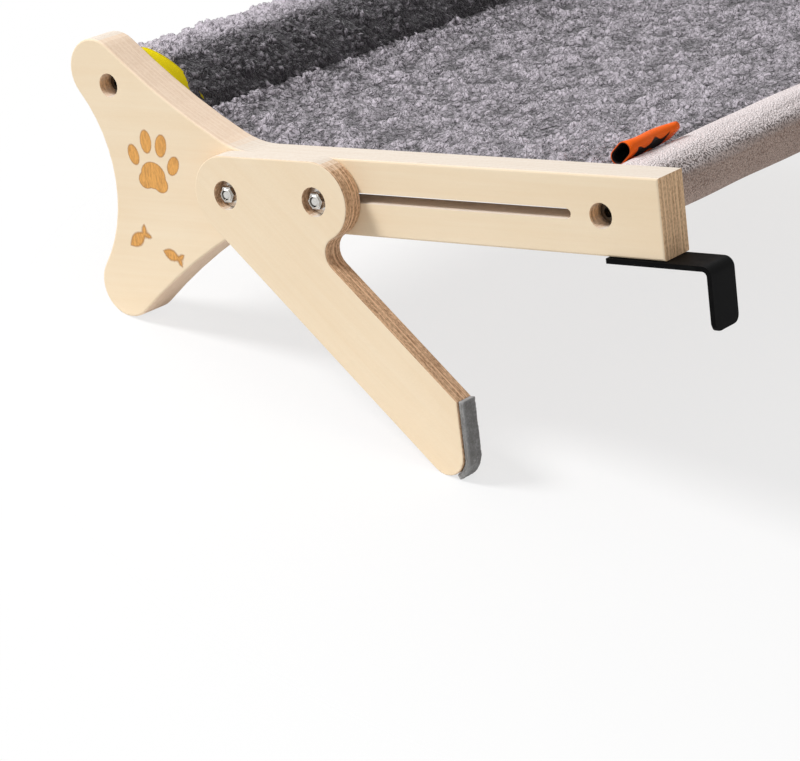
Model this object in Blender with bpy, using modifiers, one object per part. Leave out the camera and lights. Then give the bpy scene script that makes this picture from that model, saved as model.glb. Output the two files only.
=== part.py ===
"""Windowsill perch for a cat, at its real size in metres, +Z up.

Two plywood side boards lie on a windowsill and are joined by two cross rails, which carry a padded fleece
seat. A steel hook under each board's rear end drops behind the sill. A plywood leg on the outside of each
board slides along a slot in the board and is clamped by two bolts, so that its felt pad meets the wall.

The frame is the perch in use: +X points along the boards to their rear ends, over the sill, Y runs across
the perch from the near board to the far one, and the origin lies on the sill plane, midway between the
boards and level with their rear ends.
"""
import math

import bmesh
import bpy
from mathutils import Matrix, Vector
from mathutils.geometry import interpolate_bezier

NEAR, FAR = -1, 1
SIDES = {"near": NEAR, "far": FAR}
SEAT_GAP = 0.0003

# Side boards: 21 mm birch plywood, a straight arm with a fork of two round prongs
PERCH_WIDTH = 0.480
BOARD_THICKNESS = 0.021
ARM_HEIGHT = 0.040
ARM_LENGTH = 0.250
FORK_LENGTH = 0.107
PRONG_SPREAD = 0.119
PRONG_RADIUS = 0.018
NOTCH_SETBACK = 0.003
FLANK_RADIUS = 0.400
FILLET_RADIUS = 0.050
BOARD_EASE = 0.0010

# Cross rails: steel tubes with a threaded plug in each end, seated in sockets in the boards
RAIL_RADIUS = 0.011
RAIL_WALL = 0.0015
RAIL_SOCKET_DEPTH = 0.003
REAR_RAIL_SETBACK = 0.0345
FRONT_RAIL_BEHIND_TIP = 0.009
FRONT_RAIL_BELOW_TIP = 0.007
PLUG_LENGTH = 0.030

# Rail bolts: M6 socket cap screws, sunk in the boards' outer faces
RAIL_BOLT_RADIUS = 0.0029
RAIL_BOLT_LENGTH = 0.040
RAIL_BOLT_HOLE = 0.0034
CAP_RADIUS = 0.0050
CAP_HEIGHT = 0.0060
CAP_SOCKET_RADIUS = 0.0026
CAP_SOCKET_DEPTH = 0.0030
RAIL_WASHER_RADIUS = 0.0060
RAIL_WASHER_THICKNESS = 0.0012
RAIL_COUNTERBORE_RADIUS = 0.0065
RAIL_COUNTERBORE_DEPTH = 0.0145

# Legs: 12 mm plywood, a head on two bolts and a slanting shank with a flat foot against the wall
LEG_THICKNESS = 0.012
LEG_EASE = 0.0006
LEG_TRAVEL = 0.148
LEG_BOLT_SPACING = 0.060
LEG_BOLT_FROM_REAR = 0.2025
HEAD_RADIUS = 0.021
SHANK_WIDTH = 0.040
NECK_RADIUS = 0.0094
FOOT_REACH = 0.0771
FOOT_DROP = 0.1279
FOOT_RADIUS = 0.011
FELT_THICKNESS = 0.0032
FELT_INSET = 0.0008
FELT_WRAP = math.radians(62)

# Leg bolts: M5, their heads captive in a groove on the board's inner face
LEG_BOLT_RADIUS = 0.0024
LEG_BOLT_LENGTH = 0.028
BOLT_HEAD_FLATS = 0.008
BOLT_HEAD_HEIGHT = 0.0035
SLOT_WIDTH = 0.0054
GROOVE_WIDTH = 0.0086
GROOVE_DEPTH = 0.0050
GROOVE_END_ROOM = 0.0015
LEG_COUNTERBORE_RADIUS = 0.0078
LEG_COUNTERBORE_DEPTH = 0.0065
LEG_WASHER_RADIUS = 0.0074
LEG_WASHER_THICKNESS = 0.0010
NUT_FLATS = 0.008
NUT_HEX_HEIGHT = 0.0036
NUT_COLLAR_RADIUS = 0.0035
NUT_COLLAR_HEIGHT = 0.0014
NUT_BORE_RADIUS = 0.0027

# Sill hooks: bent steel strip screwed under the boards' rear ends
HOOK_WIDTH = 0.020
HOOK_OUTWARD = 0.0020
HOOK_THICKNESS = 0.0026
HOOK_PLATE_LENGTH = 0.033
HOOK_REACH = 0.0257
HOOK_DROP = 0.0321
HOOK_BEND_RADIUS = 0.0024
HOOK_CORNER_RADIUS = 0.0040
HOOK_SCREW_SETBACKS = {"a": 0.009, "b": 0.023}
SCREW_HEAD_RADIUS = 0.0038
SCREW_HEAD_HEIGHT = 0.0020
SCREW_RADIUS = 0.0015
SCREW_LENGTH = 0.014

# Padded fleece seat: a roll round the front rail, a seat panel, and a sleeve round the rear rail
COVER_END_GAP = 0.0006
ROLL_RADIUS = 0.014
ROLL_BACK_ANGLE = math.radians(75)
VALLEY_BEHIND_RAIL = 0.042
VALLEY_BELOW_RAIL = 0.018
SEAT_THICKNESS = 0.012
SEAT_SAG = 0.003
SEAT_END_BEFORE_RAIL = 0.0120
SEAT_END_ABOVE_RAIL = 0.015
EDGE_DROP = 0.005
EDGE_THICKNESS = 0.008
EDGE_FLAT = 0.009
EDGE_SLOPE = 0.026
SLEEVE_RADIUS = 0.0155
SLEEVE_FORWARD = 0.0010
SLEEVE_RISE = 0.0022

# Yellow tape bound over the seat's side edges, and the folded woven tag in the rear seam
TAPE_WIDTH = 0.009
TAPE_THICKNESS = 0.0012
TAG_LENGTH = 0.043
TAG_FROM_BOARD = 0.014
TAG_RADIUS = 0.0034
TAG_WALL = 0.0007
TAG_HEIGHT = 0.0062
TAG_LEAN = math.radians(44)
TAG_BEFORE_RAIL = 0.0119

ARC_STEPS = 8
ROUND_STEPS = 24
RAIL_STEPS = 32
SEAT_STEPS = 16
TOUCH = 0.00001

# Places worked out from the sizes above
arm_mid = ARM_HEIGHT / 2
outer_face = PERCH_WIDTH / 2
inner_face = outer_face - BOARD_THICKNESS
prong_tip = Vector((-(ARM_LENGTH + FORK_LENGTH), PRONG_SPREAD / 2))
front_rail = Vector((prong_tip.x + FRONT_RAIL_BEHIND_TIP, arm_mid + prong_tip.y - FRONT_RAIL_BELOW_TIP))
rear_rail = Vector((-REAR_RAIL_SETBACK, arm_mid))
leg_bolts = {
    "front": Vector((-LEG_BOLT_FROM_REAR - LEG_BOLT_SPACING, arm_mid)),
    "rear": Vector((-LEG_BOLT_FROM_REAR, arm_mid)),
}
leg_inner = outer_face + SEAT_GAP
leg_outer = leg_inner + LEG_THICKNESS
rail_end = inner_face + RAIL_SOCKET_DEPTH - SEAT_GAP
cover_end = inner_face - COVER_END_GAP
seat_end = cover_end - TAPE_THICKNESS - SEAT_GAP
valley = Vector((front_rail.x + VALLEY_BEHIND_RAIL, front_rail.y - VALLEY_BELOW_RAIL))
seat_rear = Vector((rear_rail.x - SEAT_END_BEFORE_RAIL, rear_rail.y + SEAT_END_ABOVE_RAIL))
sleeve_mid = Vector((rear_rail.x - SLEEVE_FORWARD, rear_rail.y + SLEEVE_RISE))
hook_mid = (inner_face + outer_face) / 2 + HOOK_OUTWARD


# Outlines, as points in the XZ plane
def angle_of(vector):
    return math.atan2(vector.y, vector.x)


def on_circle(centre, radius, angle):
    return Vector((centre[0] + radius * math.cos(angle), centre[1] + radius * math.sin(angle)))


def arc(centre, radius, start, end, steps=ARC_STEPS):
    """Points on a circle from one angle to another, both ends included."""
    return [on_circle(centre, radius, start + (end - start) * i / steps) for i in range(steps + 1)]


def circle(centre, radius, steps=ROUND_STEPS):
    return arc(centre, radius, 0, math.tau, steps)[:-1]


def capsule(start, end, radius, steps=ARC_STEPS):
    """A strip with round ends about the line from start to end."""
    along = angle_of(end - start)
    quarter = math.pi / 2
    return arc(end, radius, along - quarter, along + quarter, steps) + arc(
        start, radius, along + quarter, along + 3 * quarter, steps
    )


def without_doubles(points):
    kept = [p for i, p in enumerate(points) if (p - points[i - 1]).length > TOUCH]
    return kept


def grown(points, distance):
    """An anticlockwise outline moved outward by a distance."""
    moved = []
    for i, point in enumerate(points):
        before = (point - points[i - 1]).normalized()
        after = (points[(i + 1) % len(points)] - point).normalized()
        out = Vector((before.y + after.y, -before.x - after.x))
        share = max(out.length_squared / 2, 0.5)
        moved.append(point + out * distance / share)
    return moved


def circles_meet(centre_a, radius_a, centre_b, radius_b):
    """The point to the left of the line from a to b that lies on both circles."""
    between = centre_b - centre_a
    along = (radius_a**2 - radius_b**2 + between.length_squared) / (2 * between.length)
    aside = math.sqrt(radius_a**2 - along**2)
    across = Vector((-between.y, between.x)).normalized()
    return centre_a + between.normalized() * along + across * aside


def board_outline():
    """The arm, with a fillet and a long hollow flank up to each prong, and a hollow notch between the prongs."""
    fillet = Vector((-ARM_LENGTH, arm_mid + FILLET_RADIUS))
    flank = circles_meet(prong_tip, FLANK_RADIUS + PRONG_RADIUS, fillet, FLANK_RADIUS - FILLET_RADIUS)
    notch_radius = (NOTCH_SETBACK**2 + prong_tip.y**2 - PRONG_RADIUS**2) / (2 * (PRONG_RADIUS + NOTCH_SETBACK))
    notch = Vector((prong_tip.x + NOTCH_SETBACK - notch_radius, 0))
    fillet_end = angle_of(fillet - flank)
    flank_end = angle_of(prong_tip - flank)
    notch_start = angle_of(prong_tip - notch)
    upper = [Vector((0, arm_mid))]
    upper += arc(fillet, FILLET_RADIUS, -math.pi / 2, fillet_end, 5)
    upper += arc(flank, FLANK_RADIUS, fillet_end, flank_end, 5)
    upper += arc(prong_tip, PRONG_RADIUS, flank_end + math.pi, notch_start + math.pi, 2 * ARC_STEPS)
    upper += arc(notch, notch_radius, notch_start, 0, 6)
    lower = [Vector((p.x, -p.y)) for p in reversed(upper)]
    return [Vector((p.x, arm_mid + p.y)) for p in without_doubles(upper + lower)]


def leg_lines():
    """The leg's foot centre, and the angle at which its slanting edges face down and forward."""
    head = leg_bolts["front"]
    foot = leg_bolts["rear"] + Vector((FOOT_REACH - FOOT_RADIUS, -FOOT_DROP))
    taper = math.asin((HEAD_RADIUS - FOOT_RADIUS) / (foot - head).length)
    return foot, angle_of(foot - head) + taper - math.pi / 2


def leg_outline():
    """A head round both bolts, a neck, and a shank between two slanting edges down to a flat foot."""
    front, rear = leg_bolts["front"], leg_bolts["rear"]
    foot, front_side = leg_lines()
    out = Vector((math.cos(front_side + math.pi), math.sin(front_side + math.pi)))
    down = Vector((out.y, -out.x))
    back_edge = on_circle(front, HEAD_RADIUS, front_side) + out * SHANK_WIDTH
    neck_line = back_edge + out * NECK_RADIUS
    along = (rear - neck_line).dot(down)
    aside = (rear - neck_line - down * along).length
    neck = neck_line + down * (along + math.sqrt((HEAD_RADIUS + NECK_RADIUS) ** 2 - aside**2))
    face = foot.x + FOOT_RADIUS
    corner = back_edge + down * ((face - back_edge.x) / down.x)
    head_end = angle_of(neck - rear)
    outline = arc(rear, HEAD_RADIUS, head_end, math.pi / 2, 2 * ARC_STEPS)
    outline += arc(front, HEAD_RADIUS, math.pi / 2, front_side + math.tau, 2 * ARC_STEPS)
    outline += arc(foot, FOOT_RADIUS, front_side + math.tau, math.tau, ARC_STEPS)
    outline += [corner]
    outline += arc(neck, NECK_RADIUS, front_side + math.tau, head_end + math.pi, ARC_STEPS)
    return without_doubles(outline)


def felt_outline():
    """A strip up the foot's flat face that wraps round under the foot."""
    foot, front_side = leg_lines()
    corner = max((p for p in leg_outline() if p.x > foot.x + FOOT_RADIUS - TOUCH), key=lambda p: p.y)
    near = FOOT_RADIUS + SEAT_GAP
    far = near + FELT_THICKNESS
    inner = arc(foot, near, 0, -FELT_WRAP, ARC_STEPS)
    outer = arc(foot, far, -FELT_WRAP, 0, ARC_STEPS)
    return [Vector((foot.x + near, corner.y))] + inner + outer + [Vector((foot.x + far, corner.y))]


def hook_outline():
    """The strip's side view: a plate under the board and a leg down behind the sill."""
    top = -SEAT_GAP
    low = top - HOOK_THICKNESS
    inside = HOOK_REACH - HOOK_THICKNESS
    bend = Vector((inside - HOOK_BEND_RADIUS, low - HOOK_BEND_RADIUS))
    outer = arc(bend, HOOK_BEND_RADIUS + HOOK_THICKNESS, math.pi / 2, 0, ARC_STEPS)
    inner = arc(bend, HOOK_BEND_RADIUS, 0, math.pi / 2, ARC_STEPS)
    foot = -HOOK_DROP
    return (
        [Vector((-HOOK_PLATE_LENGTH, top))]
        + outer
        + [Vector((HOOK_REACH, foot)), Vector((inside, foot))]
        + inner
        + [Vector((-HOOK_PLATE_LENGTH, low))]
    )


def bezier(start, start_handle, end_handle, end, steps):
    return [Vector(p[:2]) for p in interpolate_bezier(
        start.to_3d(), start_handle.to_3d(), end_handle.to_3d(), end.to_3d(), steps + 1
    )]


def roll_back():
    """The roll's rear face, from the top of the roll down to the valley where the seat starts."""
    top = on_circle(front_rail, ROLL_RADIUS, ROLL_BACK_ANGLE)
    leaving = Vector((math.sin(ROLL_BACK_ANGLE), -math.cos(ROLL_BACK_ANGLE)))
    reach = valley.x - top.x
    return bezier(top, top + leaving * reach * 0.5, valley + Vector((-0.12, 0.35)) * reach, valley, 10)


def roll_outline():
    """The padded roll: round the rail in front, full behind, and closed by a straight underside."""
    under = Vector((valley.x, valley.y - EDGE_THICKNESS))
    away = under - front_rail
    last = angle_of(away) - math.acos(ROLL_RADIUS / away.length) + math.tau
    outline = arc(front_rail, ROLL_RADIUS, ROLL_BACK_ANGLE, last, 2 * ARC_STEPS)
    return without_doubles(outline + [under] + list(reversed(roll_back())))


def smooth(share):
    share = min(max(share, 0), 1)
    return share * share * (3 - 2 * share)


def seat_top(edge):
    """The seat's upper line from the valley to the rear seam; edge is 0 in the middle and 1 at the sides."""
    start = valley + Vector((SEAT_GAP, 0))
    run = seat_rear.x - start.x
    fall = start.y - seat_rear.y
    line = bezier(
        start,
        start + Vector((run * 0.10, -fall * 0.95)),
        seat_rear - Vector((run * 0.48, 0)),
        seat_rear,
        SEAT_STEPS,
    )
    shaped = []
    for i, point in enumerate(line):
        share = i / SEAT_STEPS
        drop = EDGE_DROP * edge * smooth(share / 0.3) * (1 - 0.7 * share**4)
        sag = SEAT_SAG * (1 - edge) * math.sin(math.pi * share)
        shaped.append(point - Vector((0, drop + sag)))
    return shaped


def seat_section(edge):
    """A section across the seat panel: upper line, hollow rear end against the sleeve, and lower line."""
    crown = (SEAT_THICKNESS - EDGE_THICKNESS) * (1 - edge)
    top = seat_top(edge)
    hollow = SLEEVE_RADIUS + SEAT_GAP
    end = top[-1]
    high = math.acos((end.x - sleeve_mid.x) / hollow)
    low = math.pi - math.asin((end.y - EDGE_THICKNESS - sleeve_mid.y) / hollow)
    rear = arc(sleeve_mid, hollow, high, low, 4)
    bottom = []
    for i, point in enumerate(top[:-1]):
        puff = crown * math.sin(math.pi * i / SEAT_STEPS) ** 0.5
        bottom.append(point - Vector((0, EDGE_THICKNESS + puff)))
    return top + rear + list(reversed(bottom))


def edge_outline():
    """The whole cover's outline at its side edges, which the tape goes round, anticlockwise."""
    section = seat_section(1)
    roll = roll_outline()
    front = roll[: 2 * ARC_STEPS + 1]
    back = roll[2 * ARC_STEPS + 2 :]
    return without_doubles(front + list(reversed(section))[:-1] + back)


# Making objects
def collection(name):
    made = bpy.data.collections.new(name)
    bpy.context.scene.collection.children.link(made)
    return made


def material(name, colour, roughness, metallic=0.0):
    made = bpy.data.materials.new(name)
    made.use_nodes = True
    shader = made.node_tree.nodes["Principled BSDF"]
    shader.inputs["Base Color"].default_value = (*colour, 1)
    shader.inputs["Roughness"].default_value = roughness
    shader.inputs["Metallic"].default_value = metallic
    made.diffuse_color = (*colour, 1)
    return made


def empty(name, location, parent=None):
    made = bpy.data.objects.new(name, None)
    made.empty_display_size = 0.02
    made.location = location
    pieces.objects.link(made)
    bpy.context.view_layer.update()
    if parent:
        carry(parent, made)
    return made


def carry(parent, child):
    """Parents a child without moving it."""
    child.parent = parent
    child.matrix_parent_inverse = parent.matrix_world.inverted()


def finished(obj):
    """Turns an object and its modifiers, or a curve, into one plain mesh object."""
    bpy.context.view_layer.update()
    graph = bpy.context.evaluated_depsgraph_get()
    mesh = bpy.data.meshes.new_from_object(obj.evaluated_get(graph), depsgraph=graph)
    bm = bmesh.new()
    bm.from_mesh(mesh)
    bmesh.ops.remove_doubles(bm, verts=bm.verts, dist=TOUCH)
    bm.to_mesh(mesh)
    bm.free()
    made = bpy.data.objects.new(obj.name, mesh)
    home = obj.users_collection[0]
    place, name = obj.matrix_world.copy(), obj.name
    bpy.data.objects.remove(obj)
    made.name = name
    made.matrix_world = place
    home.objects.link(made)
    return made


def plate(name, outlines, y_low, y_high, home, ease=0.0):
    """A flat piece: outlines in the XZ plane, the first one outside and the others holes, made solid along Y."""
    curve = bpy.data.curves.new(name, "CURVE")
    curve.dimensions = "2D"
    curve.fill_mode = "BOTH"
    curve.extrude = abs(y_high - y_low) / 2 - ease
    if ease:
        curve.bevel_depth = ease
        curve.bevel_resolution = 1
        curve.offset = -ease
    for outline in outlines:
        spline = curve.splines.new("POLY")
        spline.points.add(len(outline) - 1)
        for spot, point in zip(spline.points, outline):
            spot.co = (point.x, point.y, 0, 1)
        spline.use_cyclic_u = True
    made = bpy.data.objects.new(name, curve)
    made.location.y = (y_low + y_high) / 2
    made.rotation_euler.x = math.pi / 2
    home.objects.link(made)
    return finished(made)


def turned(name, profile, home, closed=False, steps=ROUND_STEPS):
    """A turned mesh about its own Z axis, from (radius, height) points that run down the outer side."""
    mesh = bpy.data.meshes.new(name)
    edges = [(i, i + 1) for i in range(len(profile) - 1)]
    if closed:
        edges.append((len(profile) - 1, 0))
    mesh.from_pydata([(radius, 0, height) for radius, height in profile], edges, [])
    made = bpy.data.objects.new(name, mesh)
    home.objects.link(made)
    screw = made.modifiers.new("turn", "SCREW")
    screw.steps = screw.render_steps = steps
    screw.use_merge_vertices = True
    screw.merge_threshold = TOUCH
    screw.use_smooth_shade = False
    return finished(made)


def point_out(obj, side, x, y, z):
    """Places a turned piece with its own +Z pointing out of a side board."""
    obj.rotation_euler = (-side * math.pi / 2, 0, 0)
    obj.location = (x, side * y, z)
    return obj


def hex_prism(name, flats, height, home):
    """A hexagon standing on its own Z axis, with two of its flats along X."""
    mesh = bpy.data.meshes.new(name)
    bm = bmesh.new()
    corner = flats / 2 / math.cos(math.pi / 6)
    bmesh.ops.create_cone(
        bm, cap_ends=True, segments=6, radius1=corner, radius2=corner, depth=height,
        matrix=Matrix.Translation((0, 0, height / 2)) @ Matrix.Rotation(math.pi / 6, 4, "Z"),
    )
    bm.to_mesh(mesh)
    bm.free()
    made = bpy.data.objects.new(name, mesh)
    home.objects.link(made)
    return made


def boolean(obj, other, operation):
    step = obj.modifiers.new(other.name, "BOOLEAN")
    step.operation = operation
    step.solver = "EXACT"
    step.object = other
    return obj


def cut(obj, cutter):
    cutter.hide_render = True
    cutter.display_type = "WIRE"
    return boolean(obj, cutter, "DIFFERENCE")


def copy_of(name, mesh, finish):
    """One more piece that shares a mesh."""
    made = bpy.data.objects.new(name, mesh)
    pieces.objects.link(made)
    return dress(made, finish)


def dress(obj, finish):
    """Gives a piece its material, and smooth shading on its round faces."""
    obj.data.materials.clear()
    obj.data.materials.append(finish)
    obj.data.shade_smooth()
    obj.data.set_sharp_from_angle(angle=math.radians(35))
    return obj


def shared_mesh(obj):
    """Keeps an object's mesh for its copies and drops the object."""
    mesh = obj.data
    bpy.data.objects.remove(obj)
    return mesh


for left in list(bpy.data.objects):
    bpy.data.objects.remove(left, do_unlink=True)
pieces = collection("cat_window_perch")
cutters = collection("cutters")

plywood = material("birch_plywood", (0.86, 0.76, 0.60), 0.55)
steel = material("zinc_plated_steel", (0.72, 0.72, 0.70), 0.35, 1.0)
black_steel = material("black_painted_steel", (0.02, 0.02, 0.02), 0.45)
felt = material("grey_felt", (0.17, 0.17, 0.17), 0.95)
fleece = material("grey_sherpa_fleece", (0.22, 0.20, 0.22), 0.95)
plush = material("taupe_short_plush", (0.62, 0.56, 0.52), 0.90)
tape = material("yellow_binding_tape", (0.72, 0.66, 0.01), 0.80)
satin = material("orange_satin_ribbon", (0.85, 0.12, 0.02), 0.45)

perch = empty("perch", (0, 0, 0))


# Turned and hexagonal fasteners, each made once and shared
def ring_profile(outer, inner, low, high):
    return [(outer, high), (outer, low), (inner, low), (inner, high)]


def cap_screw_mesh():
    """M6 cap screw: its head's underside at height 0, with a socket sunk in its top."""
    ease = CAP_RADIUS * 0.1
    profile = [
        (0, CAP_HEIGHT - CAP_SOCKET_DEPTH),
        (CAP_SOCKET_RADIUS, CAP_HEIGHT - CAP_SOCKET_DEPTH),
        (CAP_SOCKET_RADIUS, CAP_HEIGHT),
        (CAP_RADIUS - ease, CAP_HEIGHT),
        (CAP_RADIUS, CAP_HEIGHT - ease),
        (CAP_RADIUS, 0),
        (RAIL_BOLT_RADIUS, 0),
        (RAIL_BOLT_RADIUS, ease - RAIL_BOLT_LENGTH),
        (RAIL_BOLT_RADIUS - ease, -RAIL_BOLT_LENGTH),
        (0, -RAIL_BOLT_LENGTH),
    ]
    return shared_mesh(turned("cap_screw", profile, pieces, steps=16))


def wood_screw_mesh():
    """Countersunk screw that points up: its flat head at height 0."""
    profile = [
        (0, SCREW_LENGTH),
        (SCREW_RADIUS, SCREW_LENGTH - 3 * SCREW_RADIUS),
        (SCREW_RADIUS, SCREW_HEAD_HEIGHT),
        (SCREW_HEAD_RADIUS, SEAT_GAP),
        (SCREW_HEAD_RADIUS, 0),
        (0, 0),
    ]
    return shared_mesh(turned("wood_screw", profile, pieces, steps=12))


def leg_bolt_mesh():
    """M5 hexagon bolt: its head's underside at height 0."""
    head = hex_prism("hex_head", BOLT_HEAD_FLATS, BOLT_HEAD_HEIGHT, pieces)
    head.location.z = -BOLT_HEAD_HEIGHT
    ease = LEG_BOLT_RADIUS * 0.2
    sunk = BOLT_HEAD_HEIGHT / 2
    profile = [
        (0, LEG_BOLT_LENGTH),
        (LEG_BOLT_RADIUS - ease, LEG_BOLT_LENGTH),
        (LEG_BOLT_RADIUS, LEG_BOLT_LENGTH - ease),
        (LEG_BOLT_RADIUS, -sunk),
        (0, -sunk),
    ]
    shank = turned("bolt_shank", profile, cutters, steps=16)
    bolt = finished(boolean(head, shank, "UNION"))
    bpy.data.objects.remove(shank)
    bolt.data.transform(bolt.matrix_world)
    return shared_mesh(bolt)


def lock_nut_mesh():
    """M5 lock nut: a hexagon with a round collar above it, bored for the bolt."""
    nut = hex_prism("hex_nut", NUT_FLATS, NUT_HEX_HEIGHT, pieces)
    full = NUT_HEX_HEIGHT + NUT_COLLAR_HEIGHT
    ease = NUT_COLLAR_HEIGHT * 0.35
    sunk = NUT_HEX_HEIGHT / 2
    collar = turned("nut_collar", [
        (0, full),
        (NUT_COLLAR_RADIUS - ease, full),
        (NUT_COLLAR_RADIUS, full - ease),
        (NUT_COLLAR_RADIUS, sunk),
        (0, sunk),
    ], cutters, steps=20)
    bore = turned("nut_bore", [
        (0, 2 * full),
        (NUT_BORE_RADIUS, 2 * full),
        (NUT_BORE_RADIUS, -full),
        (0, -full),
    ], cutters, steps=20)
    made = finished(cut(boolean(nut, collar, "UNION"), bore))
    for tool in (collar, bore):
        bpy.data.objects.remove(tool)
    return shared_mesh(made)


def washer_mesh(name, outer, inner, thickness):
    return shared_mesh(turned(name, ring_profile(outer, inner, 0, thickness), pieces, closed=True, steps=20))


# Side boards
def rail_hole_cutter(name, side, rail):
    """A socket for the rail inside, a bolt hole, and a counterbore for the bolt's head outside."""
    beyond = RAIL_SOCKET_DEPTH
    socket_floor = inner_face + RAIL_SOCKET_DEPTH
    counterbore_floor = outer_face - RAIL_COUNTERBORE_DEPTH
    profile = [
        (0, outer_face + beyond),
        (RAIL_COUNTERBORE_RADIUS, outer_face + beyond),
        (RAIL_COUNTERBORE_RADIUS, counterbore_floor),
        (RAIL_BOLT_HOLE, counterbore_floor),
        (RAIL_BOLT_HOLE, socket_floor),
        (RAIL_RADIUS + SEAT_GAP, socket_floor),
        (RAIL_RADIUS + SEAT_GAP, inner_face - beyond),
        (0, inner_face - beyond),
    ]
    return point_out(turned(name, profile, cutters), side, rail.x, 0, rail.y)


def side_board(side_name, side):
    """The board with its slot for the leg's bolts, the groove that holds their heads, and its rail holes."""
    board = plate(
        f"{side_name}_side_board", [board_outline()], side * inner_face, side * outer_face, pieces, BOARD_EASE
    )
    slot_start = leg_bolts["front"]
    slot_end = leg_bolts["rear"] + Vector((LEG_TRAVEL, 0))
    room = Vector((GROOVE_END_ROOM, 0))
    slot = capsule(slot_start, slot_end, SLOT_WIDTH / 2, 6)
    groove = capsule(slot_start - room, slot_end + room, GROOVE_WIDTH / 2)
    deep = BOARD_THICKNESS / 2
    cut(board, plate(f"{side_name}_slot", [slot], side * (inner_face - deep), side * (outer_face + deep), cutters))
    groove_floor = inner_face + GROOVE_DEPTH
    cut(board, plate(f"{side_name}_groove", [groove], side * (inner_face - deep), side * groove_floor, cutters))
    for end, rail in (("front", front_rail), ("rear", rear_rail)):
        cut(board, rail_hole_cutter(f"{side_name}_{end}_rail_hole", side, rail))
    for mark, setback in HOOK_SCREW_SETBACKS.items():
        clear = SCREW_RADIUS + SEAT_GAP
        height = SCREW_LENGTH - HOOK_THICKNESS
        pilot = turned(f"{side_name}_pilot_hole_{mark}", [
            (0, height), (clear, height), (clear, -height), (0, -height),
        ], cutters, steps=12)
        pilot.location = (-setback, side * hook_mid, 0)
        cut(board, pilot)
    carry(perch, dress(board, plywood))
    return board


# Cross rails and what bolts them to the boards
def cross_rail(name, rail):
    tube = turned(
        name, ring_profile(RAIL_RADIUS, RAIL_RADIUS - RAIL_WALL, -rail_end, rail_end), pieces,
        closed=True, steps=RAIL_STEPS,
    )
    tube.rotation_euler.x = math.pi / 2
    tube.location = (rail.x, 0, rail.y)
    carry(perch, dress(tube, steel))


def rail_fixings(end, rail):
    plug_radius = RAIL_RADIUS - RAIL_WALL - SEAT_GAP
    plug = shared_mesh(turned(
        "rail_plug", ring_profile(plug_radius, RAIL_BOLT_HOLE, -PLUG_LENGTH, 0), pieces, closed=True
    ))
    washer_seat = outer_face - RAIL_COUNTERBORE_DEPTH + SEAT_GAP
    cap_seat = washer_seat + RAIL_WASHER_THICKNESS + SEAT_GAP
    for side_name, side in SIDES.items():
        for kind, mesh, y, finish in (
            ("plug", plug, rail_end - SEAT_GAP, plywood),
            ("washer", rail_washer, washer_seat, steel),
            ("bolt", cap_screw, cap_seat, steel),
        ):
            piece = copy_of(f"{side_name}_{end}_rail_{kind}", mesh, finish)
            carry(perch, point_out(piece, side, rail.x, y, rail.y))


# Legs and what clamps them to the boards
def leg_hole_cutter(name, side, bolt):
    """A bolt hole with a counterbore outside for the washer and the nut."""
    beyond = LEG_COUNTERBORE_DEPTH
    floor = leg_outer - LEG_COUNTERBORE_DEPTH
    profile = [
        (0, leg_outer + beyond),
        (LEG_COUNTERBORE_RADIUS, leg_outer + beyond),
        (LEG_COUNTERBORE_RADIUS, floor),
        (SLOT_WIDTH / 2, floor),
        (SLOT_WIDTH / 2, leg_inner - beyond),
        (0, leg_inner - beyond),
    ]
    return point_out(turned(name, profile, cutters), side, bolt.x, 0, bolt.y)


def leg_unit(side_name, side):
    """A leg with its felt pad and its two bolts, on an empty that lies on the slot's line."""
    head = leg_bolts["rear"]
    slide = empty(f"{side_name}_leg_slide", (head.x, side * outer_face, head.y), perch)
    leg = plate(f"{side_name}_leg", [leg_outline()], side * leg_inner, side * leg_outer, pieces, LEG_EASE)
    for end, bolt in leg_bolts.items():
        cut(leg, leg_hole_cutter(f"{side_name}_leg_{end}_hole", side, bolt))
    carry(slide, dress(leg, plywood))
    pad = plate(
        f"{side_name}_leg_felt_pad", [felt_outline()],
        side * (leg_inner + FELT_INSET), side * (leg_outer - FELT_INSET), pieces,
    )
    carry(slide, dress(pad, felt))
    head_seat = inner_face + GROOVE_DEPTH - SEAT_GAP
    washer_seat = leg_outer - LEG_COUNTERBORE_DEPTH + SEAT_GAP
    nut_seat = washer_seat + LEG_WASHER_THICKNESS + SEAT_GAP
    for end, bolt in leg_bolts.items():
        for kind, mesh, y in (
            ("bolt", leg_bolt, head_seat),
            ("washer", leg_washer, washer_seat),
            ("nut", lock_nut, nut_seat),
        ):
            piece = copy_of(f"{side_name}_leg_{end}_{kind}", mesh, steel)
            carry(slide, point_out(piece, side, bolt.x, y, bolt.y))


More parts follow.
